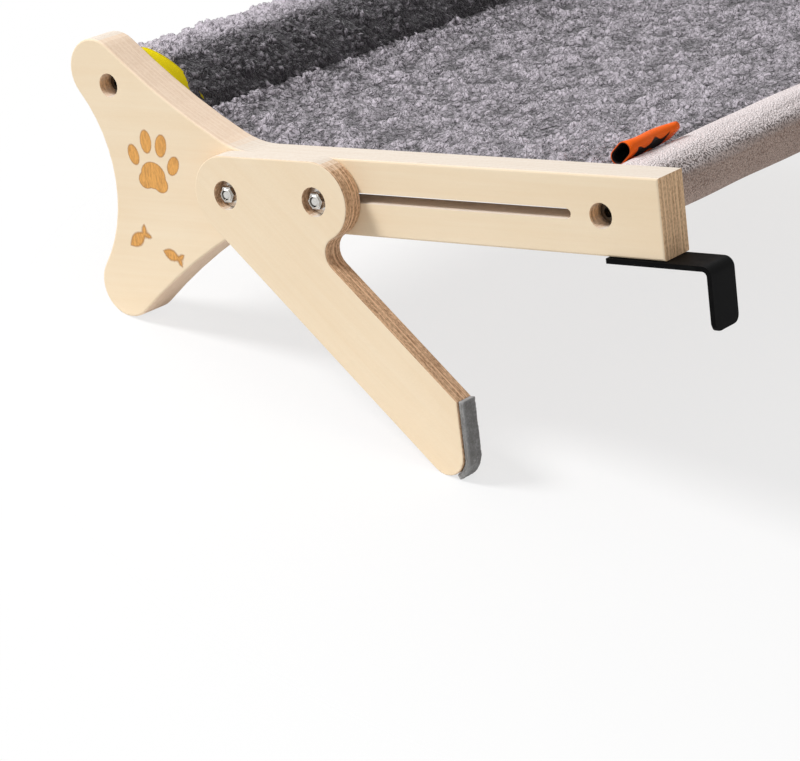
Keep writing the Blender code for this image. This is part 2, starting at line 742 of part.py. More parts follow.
# Sill hooks
def sill_hook(side_name, side):
    """Bent strip with rounded lower corners, and two countersunk screws up into the board."""
    middle = side * hook_mid
    half = HOOK_WIDTH / 2
    hook = plate(f"{side_name}_sill_hook", [hook_outline()], middle - half, middle + half, pieces)
    bm = bmesh.new()
    bm.from_mesh(hook.data)
    foot = [
        e for e in bm.edges
        if all(v.co.y < -HOOK_DROP + TOUCH for v in e.verts)
        and abs(e.verts[0].co.z - e.verts[1].co.z) < TOUCH
    ]
    bmesh.ops.bevel(
        bm, geom=foot, offset=HOOK_CORNER_RADIUS, segments=4, profile=0.5, affect="EDGES", clamp_overlap=True
    )
    bm.to_mesh(hook.data)
    bm.free()
    for mark, setback in HOOK_SCREW_SETBACKS.items():
        low = -SEAT_GAP - HOOK_THICKNESS
        sink = turned(f"{side_name}_countersink_{mark}", [
            (0, HOOK_THICKNESS),
            (SCREW_RADIUS + SEAT_GAP, HOOK_THICKNESS),
            (SCREW_RADIUS + SEAT_GAP, low + SCREW_HEAD_HEIGHT + SEAT_GAP),
            (SCREW_HEAD_RADIUS + SEAT_GAP, low + SEAT_GAP),
            (SCREW_HEAD_RADIUS + SEAT_GAP, 2 * low),
            (0, 2 * low),
        ], cutters, steps=16)
        sink.location = (-setback, middle, 0)
        cut(hook, sink)
        screw = copy_of(f"{side_name}_hook_screw_{mark}", wood_screw, steel)
        screw.location = (-setback, middle, low)
        carry(perch, screw)
    carry(perch, dress(hook, black_steel))


# Padded cover
def front_roll():
    bore = circle(front_rail, RAIL_RADIUS + SEAT_GAP, RAIL_STEPS)
    roll = plate("front_roll", [roll_outline(), bore], -seat_end, seat_end, pieces)
    carry(perch, dress(roll, fleece))


def seat_panel():
    """Sections across the seat, thick in the middle and drawn in at the sides, joined into one pad."""
    flat_from = seat_end - EDGE_FLAT
    shares = [0, 0.25, 0.5, 0.75, 1]
    stations = [0, flat_from * 0.45] + [flat_from - EDGE_SLOPE * (1 - s) for s in shares] + [seat_end]
    stations = [-y for y in reversed(stations[1:])] + stations
    bm = bmesh.new()
    loops = []
    for y in stations:
        edge = smooth((abs(y) - (flat_from - EDGE_SLOPE)) / EDGE_SLOPE)
        loops.append([bm.verts.new((p.x, y, p.y)) for p in seat_section(edge)])
    for ring, following in zip(loops, loops[1:]):
        for i in range(len(ring)):
            bm.faces.new((ring[i - 1], ring[i], following[i], following[i - 1]))
    bm.faces.new(loops[0])
    bm.faces.new(loops[-1])
    bmesh.ops.recalc_face_normals(bm, faces=bm.faces)
    mesh = bpy.data.meshes.new("seat_panel")
    bm.to_mesh(mesh)
    bm.free()
    carry(perch, copy_of("seat_panel", mesh, fleece))


def rear_sleeve():
    """The sleeve round the rear rail, fuller above it, where the seat is sewn on."""
    skin = circle(sleeve_mid, SLEEVE_RADIUS, RAIL_STEPS)
    bore = circle(rear_rail, RAIL_RADIUS + SEAT_GAP, RAIL_STEPS)
    carry(perch, dress(plate("rear_sleeve", [skin, bore], -cover_end, cover_end, pieces), plush))


def edge_tape(side_name, side):
    """Tape folded over the cover's side edge: a face with a lip round it, open for the rails."""
    edge = edge_outline()
    outside = grown(edge, SEAT_GAP + TAPE_THICKNESS)
    rail_hole = circle(front_rail, RAIL_RADIUS + SEAT_GAP, RAIL_STEPS)
    binding = plate(
        f"{side_name}_edge_tape", [outside, rail_hole], side * (cover_end - TAPE_WIDTH), side * cover_end, pieces
    )
    pocket = grown(edge, SEAT_GAP)
    inside = plate(
        f"{side_name}_tape_pocket", [pocket],
        side * (cover_end - 2 * TAPE_WIDTH), side * (cover_end - TAPE_THICKNESS), cutters,
    )
    cut(binding, inside)
    around = SLEEVE_RADIUS + SEAT_GAP
    clear = turned(f"{side_name}_sleeve_room", [
        (0, outer_face), (around, outer_face), (around, 0), (0, 0),
    ], cutters, steps=RAIL_STEPS)
    cut(binding, point_out(clear, side, sleeve_mid.x, 0, sleeve_mid.y))
    carry(perch, dress(binding, tape))


def woven_tag():
    """A ribbon folded into a flat loop that stands in the seam before the sleeve and leans back over it."""
    start = Vector((rear_rail.x - TAG_BEFORE_RAIL, seat_rear.y + TAG_RADIUS + 2 * SEAT_GAP))
    end = start + Vector((math.cos(TAG_LEAN), math.sin(TAG_LEAN))) * TAG_HEIGHT
    loop = capsule(start, end, TAG_RADIUS)
    hollow = capsule(start, end, TAG_RADIUS - TAG_WALL)
    y_low = -inner_face + TAG_FROM_BOARD
    carry(perch, dress(plate("woven_tag", [loop, hollow], y_low, y_low + TAG_LENGTH, pieces), satin))


cap_screw = cap_screw_mesh()
wood_screw = wood_screw_mesh()
leg_bolt = leg_bolt_mesh()
lock_nut = lock_nut_mesh()
rail_washer = washer_mesh("rail_washer", RAIL_WASHER_RADIUS, RAIL_BOLT_HOLE, RAIL_WASHER_THICKNESS)
leg_washer = washer_mesh("leg_washer", LEG_WASHER_RADIUS, SLOT_WIDTH / 2, LEG_WASHER_THICKNESS)

for side_name, side in SIDES.items():
    side_board(side_name, side)
    leg_unit(side_name, side)
    sill_hook(side_name, side)
    edge_tape(side_name, side)
for end, rail in (("front", front_rail), ("rear", rear_rail)):
    cross_rail(f"{end}_rail", rail)
    rail_fixings(end, rail)
front_roll()
seat_panel()
rear_sleeve()
woven_tag()
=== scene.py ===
"""Cat window perch: plywood side boards on sliding legs, steel sill hooks and a fleece seat between rails."""
import math

import bmesh
import bpy
from mathutils import Matrix, Vector, noise
from mathutils.geometry import interpolate_bezier


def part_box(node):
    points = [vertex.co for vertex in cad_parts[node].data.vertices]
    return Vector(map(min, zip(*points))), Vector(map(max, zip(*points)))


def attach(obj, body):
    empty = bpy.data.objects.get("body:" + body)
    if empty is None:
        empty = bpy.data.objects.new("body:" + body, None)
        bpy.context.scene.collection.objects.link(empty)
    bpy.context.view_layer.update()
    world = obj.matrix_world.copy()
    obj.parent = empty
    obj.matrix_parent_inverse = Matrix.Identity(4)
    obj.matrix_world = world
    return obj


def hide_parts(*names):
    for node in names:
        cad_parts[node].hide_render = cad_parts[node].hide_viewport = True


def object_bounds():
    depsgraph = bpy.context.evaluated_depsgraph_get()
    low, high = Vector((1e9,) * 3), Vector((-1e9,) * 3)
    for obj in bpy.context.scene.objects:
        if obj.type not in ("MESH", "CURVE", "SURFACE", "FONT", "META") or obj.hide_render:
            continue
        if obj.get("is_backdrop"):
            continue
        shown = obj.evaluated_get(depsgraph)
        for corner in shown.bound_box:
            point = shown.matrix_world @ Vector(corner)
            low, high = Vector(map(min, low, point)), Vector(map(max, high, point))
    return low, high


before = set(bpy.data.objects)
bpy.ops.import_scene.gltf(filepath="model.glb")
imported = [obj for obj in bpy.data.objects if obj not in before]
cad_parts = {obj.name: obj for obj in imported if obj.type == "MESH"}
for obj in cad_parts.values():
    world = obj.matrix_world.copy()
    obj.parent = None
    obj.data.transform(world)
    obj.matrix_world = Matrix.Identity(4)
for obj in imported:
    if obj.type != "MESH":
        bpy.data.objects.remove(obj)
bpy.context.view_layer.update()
scene = bpy.context.scene
scene.view_settings.view_transform = "Standard"

# Camera
# A long lens from the front right, a little above the perch. The perch was photographed standing tilted
# on its prongs and feet, so the camera is rolled to keep the boards on that slant.
CAMERA_PLACE = Vector((0.7495, -1.3146, 0.3630))
CAMERA_RIGHT = Vector((0.77766, 0.61719, -0.11969))
CAMERA_DOWN = Vector((0.09593, -0.30465, -0.94762))
CAMERA_AHEAD = Vector((-0.62132, 0.72545, -0.29612))
LENS_MM = 130.6
SENSOR_MM = 36
NEAREST_SEEN = 0.05

camera_data = bpy.data.cameras.new("photo_camera")
camera_data.lens = LENS_MM
camera_data.sensor_width = SENSOR_MM
camera_data.clip_start = NEAREST_SEEN
camera = bpy.data.objects.new("photo_camera", camera_data)
turn = Matrix((CAMERA_RIGHT, -CAMERA_DOWN, -CAMERA_AHEAD)).transposed()
camera.matrix_world = Matrix.Translation(CAMERA_PLACE) @ turn.to_4x4()
scene.collection.objects.link(camera)
scene.camera = camera


# Studio
# A round white sheet under the lower prongs and the felt feet, so it slopes down towards the sill end.
# A large soft lamp on the left and a white room overexpose it, and its rim fades into the room.
FLOOR_TILT = math.radians(15.4)
FLOOR_BELOW_ORIGIN = 0.1512
FLOOR_MIDDLE_X = -0.06
FLOOR_RADIUS = 0.62
FLOOR_SIDES = 96
FLOOR_FADE = 0.30
FLOOR_GLOW = 0.72
SHEET_WHITE = (0.90, 0.90, 0.90, 1)
LAMP_PLACE = Vector((-1.15, -1.35, 2.05))
LAMP_SIZE = 0.80
LAMP_WATTS = 60.0
ROOM_STRENGTH = 0.47
WHITE = (1.0, 1.0, 1.0, 1.0)


def add_node(tree, kind, **settings):
    made = tree.nodes.new(kind)
    for name, value in settings.items():
        setattr(made, name, value)
    return made


def feed(tree, socket, value):
    """Links a socket to another, or sets it to a number or a colour."""
    if isinstance(value, bpy.types.NodeSocket):
        tree.links.new(value, socket)
    else:
        socket.default_value = value


def calc(tree, operation, *inputs, clamp=False):
    made = add_node(tree, "ShaderNodeMath", operation=operation, use_clamp=clamp)
    for socket, value in zip(made.inputs, inputs):
        feed(tree, socket, value)
    return made.outputs[0]


def ramp(tree, value, low, high, to_low=0.0, to_high=1.0):
    """Smooth step of a value between two limits."""
    made = add_node(tree, "ShaderNodeMapRange", interpolation_type="SMOOTHSTEP")
    for socket, number in zip(made.inputs, (value, low, high, to_low, to_high)):
        feed(tree, socket, number)
    return made.outputs["Result"]


def mix_shaders(tree, share, first, second):
    made = add_node(tree, "ShaderNodeMixShader")
    for socket, value in zip(made.inputs, (share, first.outputs[0], second.outputs[0])):
        feed(tree, socket, value)
    return made


def object_place(tree):
    return add_node(tree, "ShaderNodeTexCoord").outputs["Object"]


def new_material(name, roughness=0.5, metallic=0.0, **sockets):
    """A material with its tree and its Principled shader; sockets take constant values."""
    made = bpy.data.materials.new(name)
    made.use_nodes = True
    shader = made.node_tree.nodes["Principled BSDF"]
    shader.inputs["Roughness"].default_value = roughness
    shader.inputs["Metallic"].default_value = metallic
    for socket, value in sockets.items():
        shader.inputs[socket.replace("_", " ")].default_value = value
    return made, made.node_tree, shader


def white_sweep():
    """Matt white sheet that glows for the camera and clears towards its rim."""
    made, tree, shader = new_material("white_sweep", roughness=0.9, Specular_IOR_Level=0.0)
    shader.inputs["Base Color"].default_value = SHEET_WHITE
    distance = add_node(tree, "ShaderNodeVectorMath", operation="LENGTH")
    feed(tree, distance.inputs[0], object_place(tree))
    rim = ramp(tree, distance.outputs["Value"], FLOOR_RADIUS - FLOOR_FADE, FLOOR_RADIUS)
    glow = add_node(tree, "ShaderNodeEmission")
    glow.inputs["Color"].default_value = WHITE
    clear = add_node(tree, "ShaderNodeBsdfTransparent")
    seen = add_node(tree, "ShaderNodeLightPath").outputs["Is Camera Ray"]
    lifted = mix_shaders(tree, calc(tree, "MULTIPLY", seen, FLOOR_GLOW), shader, glow)
    faded = mix_shaders(tree, rim, lifted, clear)
    feed(tree, tree.nodes["Material Output"].inputs["Surface"], faded.outputs[0])
    return made


def white_room():
    """A room that lights the perch softly, and looks plain white straight on and in reflections."""
    made = bpy.data.worlds.new("white_room")
    made.use_nodes = True
    tree = made.node_tree
    rays = add_node(tree, "ShaderNodeLightPath")
    seen = calc(tree, "MAXIMUM", rays.outputs["Is Camera Ray"], rays.outputs["Is Glossy Ray"])
    seen = calc(tree, "MAXIMUM", seen, rays.outputs["Is Transmission Ray"])
    background = tree.nodes["Background"]
    background.inputs["Color"].default_value = WHITE
    spare = calc(tree, "MULTIPLY", seen, 1.0 - ROOM_STRENGTH)
    feed(tree, background.inputs["Strength"], calc(tree, "ADD", spare, ROOM_STRENGTH))
    return made


floor_mesh = bpy.data.meshes.new("floor")
disc = bmesh.new()
bmesh.ops.create_circle(disc, cap_ends=True, segments=FLOOR_SIDES, radius=FLOOR_RADIUS)
disc.to_mesh(floor_mesh)
disc.free()
floor = bpy.data.objects.new("floor", floor_mesh)
floor_up = Vector((math.sin(FLOOR_TILT), 0, math.cos(FLOOR_TILT)))
floor_height = -(FLOOR_BELOW_ORIGIN + floor_up.x * FLOOR_MIDDLE_X) / floor_up.z
floor.location = (FLOOR_MIDDLE_X, 0, floor_height)
floor.rotation_euler = (0, FLOOR_TILT, 0)
floor_mesh.materials.append(white_sweep())
scene.collection.objects.link(floor)
floor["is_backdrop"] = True

lamp_data = bpy.data.lights.new("left_lamp", "AREA")
lamp_data.shape = "DISK"
lamp_data.size = LAMP_SIZE
lamp_data.energy = LAMP_WATTS
lamp = bpy.data.objects.new("left_lamp", lamp_data)
lamp.location = LAMP_PLACE
lamp.rotation_euler = (-LAMP_PLACE).to_track_quat("-Z", "Y").to_euler()
scene.collection.objects.link(lamp)
scene.world = white_room()


# Side boards
# 21 mm birch plywood under clear lacquer, cut from sheet with the grain along the arm. The plies show
# as stripes on the sawn edges, and plain pictures are burnt into the outer face of the fork.
BOARD_OUTER = 0.240
BOARD_THICKNESS = 0.021
BOARD_PLIES = 15.0
BOARD_CUT_FROM = 0.05
BOARD_FACE = (0.86, 0.72, 0.53, 1)
BOARD_FACE_WARM = (0.80, 0.62, 0.41, 1)
BOARD_EDGE_PALE = (0.87, 0.70, 0.55, 1)
BOARD_EDGE_DARK = (0.80, 0.61, 0.45, 1)
# Edges lying on top take a cooler tone, a painted reflection of the white room in the lacquer
BOARD_TOP_REFLECTION_TONES = ((0.77, 0.69, 0.60, 1), (0.70, 0.60, 0.50, 1))
BOARD_END_PALE = (0.98, 0.67, 0.40, 1)
BOARD_END_DARK = (0.44, 0.25, 0.13, 1)
LACQUER_GLOSS = 0.35
FACE_ROUGHNESS = 0.50
EDGE_ROUGHNESS = 0.75
PLYWOOD_BUMP = 0.12
PLYWOOD_BUMP_DEPTH = 0.0004

# The grain's patterns run along X: how much each is stretched, and how much it changes the tone
GRAIN_BANDS = (5.0, 5.0, 70.0)
GRAIN_FIBRES = (12.0, 400.0, 400.0)
GRAIN_PORES = (45.0, 1500.0, 1500.0)
GRAIN_CLOUDS = 14.0
BAND_TONE = 1.6
FIBRE_TONE = 1.0
CLOUD_TONE = 1.0
GRAIN_MIDDLE = 0.35
GRAIN_CONTRAST = 0.55
GRAIN_HEIGHT = 0.4

# The plies wander a little, and their streaks, specks and knots follow the sawn edge
PLY_WANDER = 0.25
PLY_WANDER_SCALE = 60.0
PLY_TONE = 0.30
STREAK_STRETCH = (60.0, 1300.0, 60.0)
STREAK_TONE = 1.7
SPECK_STRETCH = (600.0, 900.0, 600.0)
SPECK_TONE = 1.9
KNOT_STRETCH = (30.0, 60.0, 30.0)
KNOT_FROM, KNOT_TO = 0.12, 0.03
GLUE_FROM = 0.36
GLUE_TONE = 0.42

# Share of its normal at which a surface counts as the board's face, as level or as lying on top under a
# painted reflection
FACE_FROM, FACE_TO = 0.45, 0.85
REFLECTION_FROM, REFLECTION_TO = 0.90, 0.99
LEVEL_FROM = 0.98


def blend(tree, share, first, second):
    """Mixes two colours."""
    made = add_node(tree, "ShaderNodeMix", data_type="RGBA", blend_type="MIX")
    feed(tree, made.inputs["Factor"], share)
    feed(tree, made.inputs["A"], first)
    feed(tree, made.inputs["B"], second)
    return made.outputs["Result"]


def new_group(name, inputs, outputs):
    """A node group with named sockets; returns it with its input and output nodes."""
    group = bpy.data.node_groups.new(name, "ShaderNodeTree")
    kinds = {"V": "NodeSocketVector", "F": "NodeSocketFloat", "C": "NodeSocketColor"}
    for label, kind in inputs.items():
        group.interface.new_socket(label, in_out="INPUT", socket_type=kinds[kind])
    for label, kind in outputs.items():
        group.interface.new_socket(label, in_out="OUTPUT", socket_type=kinds[kind])
    return group, group.nodes.new("NodeGroupInput"), group.nodes.new("NodeGroupOutput")


def use_group(tree, group, **values):
    made = tree.nodes.new("ShaderNodeGroup")
    made.node_tree = group
    for label, value in values.items():
        feed(tree, made.inputs[label.replace("_", " ")], value)
    return made.outputs


def parts_of(tree, vector):
    """The X, Y and Z of a vector."""
    made = add_node(tree, "ShaderNodeSeparateXYZ")
    feed(tree, made.inputs[0], vector)
    return made.outputs


def noise_of(tree, vector, scale, detail=2.0, roughness=0.5):
    made = add_node(tree, "ShaderNodeTexNoise")
    feed(tree, made.inputs["Vector"], vector)
    for label, value in (("Scale", scale), ("Detail", detail), ("Roughness", roughness)):
        feed(tree, made.inputs[label], value)
    return made.outputs["Fac"]


def stretched(tree, vector, scale, turn=(0, 0, 0)):
    made = add_node(tree, "ShaderNodeMapping")
    feed(tree, made.inputs["Vector"], vector)
    made.inputs["Scale"].default_value = scale
    made.inputs["Rotation"].default_value = turn
    return made.outputs["Vector"]


def cells_of(tree, vector, scale, feature="F1"):
    made = add_node(tree, "ShaderNodeTexVoronoi", feature=feature)
    feed(tree, made.inputs["Vector"], vector)
    made.inputs["Scale"].default_value = scale
    return made.outputs["Distance"]


def varied(tree, level, pattern, amount):
    """A level changed up and down by a pattern whose middle is 0.5."""
    change = calc(tree, "MULTIPLY", calc(tree, "SUBTRACT", pattern, 0.5), amount)
    return calc(tree, "ADD", level, change)


def bumped(tree, shader, height, strength, depth):
    """Lets a height pattern tip the shader's normal."""
    bump = add_node(tree, "ShaderNodeBump")
    feed(tree, bump.inputs["Height"], height)
    bump.inputs["Strength"].default_value = strength
    bump.inputs["Distance"].default_value = depth
    feed(tree, shader.inputs["Normal"], bump.outputs["Normal"])


def birch_grain_group():
    """Grain of a plain birch face along the X axis of its vector: soft bands, fibres and fine pores."""
    group, given, out = new_group(
        "birch_grain", {"Vector": "V", "Contrast": "F"}, {"Fac": "F", "Height": "F"}
    )
    vector = given.outputs["Vector"]
    bands = noise_of(group, stretched(group, vector, GRAIN_BANDS), 1.0, 3.0, 0.6)
    fibres = noise_of(group, stretched(group, vector, GRAIN_FIBRES), 1.0, 2.0, 0.6)
    clouds = noise_of(group, vector, GRAIN_CLOUDS, 2.0)
    figure = 0.0
    for pattern, amount in ((bands, BAND_TONE), (fibres, FIBRE_TONE), (clouds, CLOUD_TONE)):
        figure = varied(group, figure, pattern, amount)
    figure = calc(group, "MULTIPLY", figure, given.outputs["Contrast"])
    feed(group, out.inputs["Fac"], calc(group, "ADD", figure, GRAIN_MIDDLE, clamp=True))
    pores = noise_of(group, stretched(group, vector, GRAIN_PORES), 1.0, 2.0, 0.7)
    feed(group, out.inputs["Height"], pores)
    return group


def ply_edge_group():
    """Sawn plywood edge: plies across Depth, every other one end grain, with thin dark glue lines."""
    group, given, out = new_group(
        "ply_edge",
        {"Vector": "V", "Depth": "F", "Plies": "F", "Pale": "C", "Dark": "C"},
        {"Color": "C", "Height": "F"},
    )
    vector = given.outputs["Vector"]
    ply = calc(group, "MULTIPLY", given.outputs["Depth"], given.outputs["Plies"])
    ply = varied(group, ply, noise_of(group, vector, PLY_WANDER_SCALE), PLY_WANDER)
    number = calc(group, "FLOOR", ply)
    end_grain = calc(group, "PINGPONG", number, 1.0)
    own_tone = add_node(group, "ShaderNodeTexWhiteNoise", noise_dimensions="1D")
    feed(group, own_tone.inputs["W"], number)
    streaks = noise_of(group, stretched(group, vector, STREAK_STRETCH), 1.0, 3.0, 0.6)
    specks = noise_of(group, stretched(group, vector, SPECK_STRETCH), 1.0, 2.0, 0.6)
    knots = cells_of(group, stretched(group, vector, KNOT_STRETCH), 1.0)
    knot = ramp(group, knots, KNOT_FROM, KNOT_TO)
    from_middle = calc(group, "ABSOLUTE", calc(group, "SUBTRACT", calc(group, "FRACT", ply), 0.5))
    glue = ramp(group, from_middle, GLUE_FROM, 0.5)
    level = calc(group, "MULTIPLY", end_grain, PLY_TONE)
    level = calc(group, "ADD", level, calc(group, "MULTIPLY", own_tone.outputs["Value"], PLY_TONE))
    level = varied(group, level, streaks, STREAK_TONE)
    level = varied(group, level, specks, SPECK_TONE)
    level = calc(group, "ADD", level, calc(group, "MULTIPLY", glue, GLUE_TONE))
    level = calc(group, "ADD", level, knot, clamp=True)
    feed(group, out.inputs["Color"], blend(group, level, given.outputs["Pale"], given.outputs["Dark"]))
    feed(group, out.inputs["Height"], calc(group, "SUBTRACT", 1.0, level))
    return group


def sawn_tones_group():
    """Mask of where the board's face shows, and the two tones of its sawn edge by the way it faces:
    a painted reflection of the white room on top, and browner the steeper it stands, fully at Cut From."""
    group, given, out = new_group(
        "sawn_tones",
        {
            "Normal": "V", "Edge Pale": "C", "Edge Dark": "C",
            "Cut Pale": "C", "Cut Dark": "C", "Cut From": "F",
        },
        {"Face": "F", "Pale": "C", "Dark": "C"},
    )
    facing = parts_of(group, given.outputs["Normal"])
    face = ramp(group, calc(group, "ABSOLUTE", facing["Y"]), FACE_FROM, FACE_TO)
    feed(group, out.inputs["Face"], face)
    steep = ramp(group, calc(group, "ABSOLUTE", facing["Z"]), LEVEL_FROM, given.outputs["Cut From"])
    painted_light_on_top = ramp(group, facing["Z"], REFLECTION_FROM, REFLECTION_TO)
    for tone, reflected in zip(("Pale", "Dark"), BOARD_TOP_REFLECTION_TONES):
        sawn = blend(group, steep, given.outputs[f"Edge {tone}"], given.outputs[f"Cut {tone}"])
        feed(group, out.inputs[tone], blend(group, painted_light_on_top, sawn, reflected))
    return group


# Each mark is an ellipse, or a lens where the last number is 1: its middle, half sizes and turn, in
# shares of the picture's size. Each picture has a place on the board, a size and a turn.
PAW_PADS = (
    ((0.0, -0.28), (0.40, 0.34), 0.0, 2.0),
    ((-0.25, -0.46), (0.23, 0.21), 0.0, 2.0),
    ((0.25, -0.46), (0.23, 0.21), 0.0, 2.0),
    ((-0.66, 0.12), (0.17, 0.26), 0.42, 2.0),
    ((-0.25, 0.55), (0.18, 0.29), 0.14, 2.0),
    ((0.25, 0.55), (0.18, 0.29), -0.14, 2.0),
    ((0.66, 0.12), (0.17, 0.26), -0.42, 2.0),
)
FISH_PARTS = (
    ((-0.12, 0.0), (0.80, 0.40), 0.0, 1.0),
    ((0.80, 0.20), (0.36, 0.15), 0.85, 1.0),
    ((0.80, -0.20), (0.36, 0.15), -0.85, 1.0),
)
BURNT_PICTURES = (
    (PAW_PADS, Vector((-0.3235, 0.0300)), 0.0215, -0.18),
    (FISH_PARTS, Vector((-0.3425, -0.0120)), 0.0085, 0.55),
    (FISH_PARTS, Vector((-0.3190, -0.0200)), 0.0072, -0.35),
)
BURNT_LINE = (0.34, 0.15, 0.04, 1)
BURNT_FILL = (0.78, 0.39, 0.10, 1)
BURNT_ROUNDING = 0.0010
BURNT_RAGGED = 0.0005
BURNT_RAGGED_SCALE = 900.0
BURNT_FROM, BURNT_TO = 0.00025, -0.00015
BURNT_LINE_FROM, BURNT_LINE_TO = 0.0005, 0.0001
BURNT_LINE_DEPTH = 0.55
BURNT_STREAKS = (1100.0, 60.0, 260.0)
BURNT_STREAK_FROM, BURNT_STREAK_TO = 0.35, 0.70
BURNT_EVENED = 0.45


def round_mark(tree, flat_x, flat_z, middle, size, turn, power):
    """Signed distance in metres to an ellipse, or with power 1 to a lens with pointed ends: middle and
    half sizes in the XZ plane, turned anticlockwise."""
    across = calc(tree, "SUBTRACT", flat_x, middle[0])
    up = calc(tree, "SUBTRACT", flat_z, middle[1])
    c, s = math.cos(turn), math.sin(turn)
    first = calc(tree, "ADD", calc(tree, "MULTIPLY", across, c), calc(tree, "MULTIPLY", up, s))
    second = calc(tree, "SUBTRACT", calc(tree, "MULTIPLY", up, c), calc(tree, "MULTIPLY", across, s))
    first = calc(tree, "POWER", calc(tree, "ABSOLUTE", calc(tree, "DIVIDE", first, size[0])), 2.0)
    second = calc(tree, "POWER", calc(tree, "ABSOLUTE", calc(tree, "DIVIDE", second, size[1])), power)
    length = calc(tree, "SQRT", calc(tree, "ADD", first, second))
    return calc(tree, "MULTIPLY", calc(tree, "SUBTRACT", length, 1.0), min(size))


def picture_distance(tree, flat_x, flat_z):
    """Least distance to all the burnt pictures, with the marks of each one melted together."""
    least = None
    for parts, middle, scale, turn in BURNT_PICTURES:
        spin = Matrix.Rotation(turn, 2)
        merged = None
        for at, size, tilt, power in parts:
            spot = middle + spin @ Vector(at) * scale
            half = (size[0] * scale, size[1] * scale)
            mark = round_mark(tree, flat_x, flat_z, spot, half, turn + tilt, power)
            if merged is None:
                merged = mark
            else:
                merged = calc(tree, "SMOOTH_MIN", merged, mark, BURNT_ROUNDING)
        least = merged if least is None else calc(tree, "MINIMUM", least, merged)
    return least


def with_burnt_pictures(tree, place, normal, colour):
    """The outer face's colour with the pictures burnt in, each a streaky fill in a darker line."""
    flat_x, flat_y, flat_z = parts_of(tree, place)
    outward = calc(tree, "MULTIPLY", parts_of(tree, normal)["Y"], calc(tree, "SIGN", flat_y))
    shows = ramp(tree, outward, FACE_FROM, FACE_TO)
    mark = picture_distance(tree, flat_x, flat_z)
    mark = varied(tree, mark, noise_of(tree, place, BURNT_RAGGED_SCALE), BURNT_RAGGED)
    inside = calc(tree, "MULTIPLY", ramp(tree, mark, BURNT_FROM, BURNT_TO), shows)
    line = ramp(tree, calc(tree, "ABSOLUTE", mark), BURNT_LINE_FROM, BURNT_LINE_TO)
    line = calc(tree, "MULTIPLY", line, shows)
    streak = noise_of(tree, stretched(tree, place, BURNT_STREAKS), 1.0, 3.0, 0.7)
    streak = ramp(tree, streak, BURNT_STREAK_FROM, BURNT_STREAK_TO)
    fill = blend(tree, streak, BURNT_FILL, BURNT_LINE)
    fill = blend(tree, BURNT_EVENED, fill, BURNT_FILL)
    colour = blend(tree, inside, colour, fill)
    return blend(tree, calc(tree, "MULTIPLY", line, BURNT_LINE_DEPTH), colour, BURNT_LINE)


birch_grain = birch_grain_group()
ply_edge = ply_edge_group()
sawn_tones = sawn_tones_group()


def plywood(name, inner, outer, plies, edge_tones, cut_tones, cut_from, grain_turn=0.0, pictures=False):
    """Birch plywood whose faces lie inner and outer from the perch's middle, with its grain turned in
    the XZ plane. Edges take on the browner cut_tones the less they face up or down."""
    made, tree, shader = new_material(name, Specular_IOR_Level=LACQUER_GLOSS)
    places = add_node(tree, "ShaderNodeTexCoord")
    place = places.outputs["Object"]
    normal = places.outputs["Normal"]
    along = stretched(tree, place, (1, 1, 1), (0, grain_turn, 0))
    grain = use_group(tree, birch_grain, Vector=along, Contrast=GRAIN_CONTRAST)
    colour = blend(tree, grain["Fac"], BOARD_FACE, BOARD_FACE_WARM)
    if pictures:
        colour = with_burnt_pictures(tree, place, normal, colour)
    tones = use_group(
        tree, sawn_tones, Normal=normal, Edge_Pale=edge_tones[0], Edge_Dark=edge_tones[1],
        Cut_Pale=cut_tones[0], Cut_Dark=cut_tones[1], Cut_From=cut_from,
    )
    depth = calc(tree, "SUBTRACT", calc(tree, "ABSOLUTE", parts_of(tree, place)["Y"]), inner)
    depth = calc(tree, "DIVIDE", depth, outer - inner)
    edge = use_group(
        tree, ply_edge, Vector=place, Depth=depth, Plies=plies, Pale=tones["Pale"], Dark=tones["Dark"]
    )
    face = tones["Face"]
    feed(tree, shader.inputs["Base Color"], blend(tree, face, edge["Color"], colour))
    feed(tree, shader.inputs["Roughness"], ramp(tree, face, 0.0, 1.0, EDGE_ROUGHNESS, FACE_ROUGHNESS))
    height = calc(tree, "MULTIPLY", grain["Height"], GRAIN_HEIGHT)
    height = calc(tree, "ADD", height, edge["Height"])
    bumped(tree, shader, height, PLYWOOD_BUMP, PLYWOOD_BUMP_DEPTH)
    return made


def finish_with(node, material):
    """Gives a rigid piece of the frame its finish."""
    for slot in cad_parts[node].material_slots:
        slot.material = material


board_finish = plywood(
    "lacquered_birch_board", BOARD_OUTER - BOARD_THICKNESS, BOARD_OUTER, BOARD_PLIES,
    (BOARD_EDGE_PALE, BOARD_EDGE_DARK), (BOARD_END_PALE, BOARD_END_DARK), BOARD_CUT_FROM, pictures=True,
)
for side in ("near", "far"):
    finish_with(f"{side}_side_board", board_finish)


# Sliding legs
# 12 mm birch plywood, browned along the cut, with its grain down the shank. The head lies flat against
# the board over the slot, held by two bolts that slide in it.
LEG_THICKNESS = 0.012
LEG_PLIES = 9.0
LEG_CUT_FROM = 0.72
LEG_GRAIN_TURN = math.radians(-42.2)
LEG_EDGE_WARM = (0.66, 0.46, 0.29, 1)
LEG_EDGE_PALE = (0.83, 0.55, 0.34, 1)
LEG_EDGE_DARK = (0.29, 0.15, 0.074, 1)

leg_finish = plywood(
    "lacquered_birch_leg", BOARD_OUTER, BOARD_OUTER + LEG_THICKNESS, LEG_PLIES,
    (BOARD_EDGE_PALE, LEG_EDGE_WARM), (LEG_EDGE_PALE, LEG_EDGE_DARK), LEG_CUT_FROM, LEG_GRAIN_TURN,
)
for side in ("near", "far"):
    finish_with(f"{side}_leg", leg_finish)
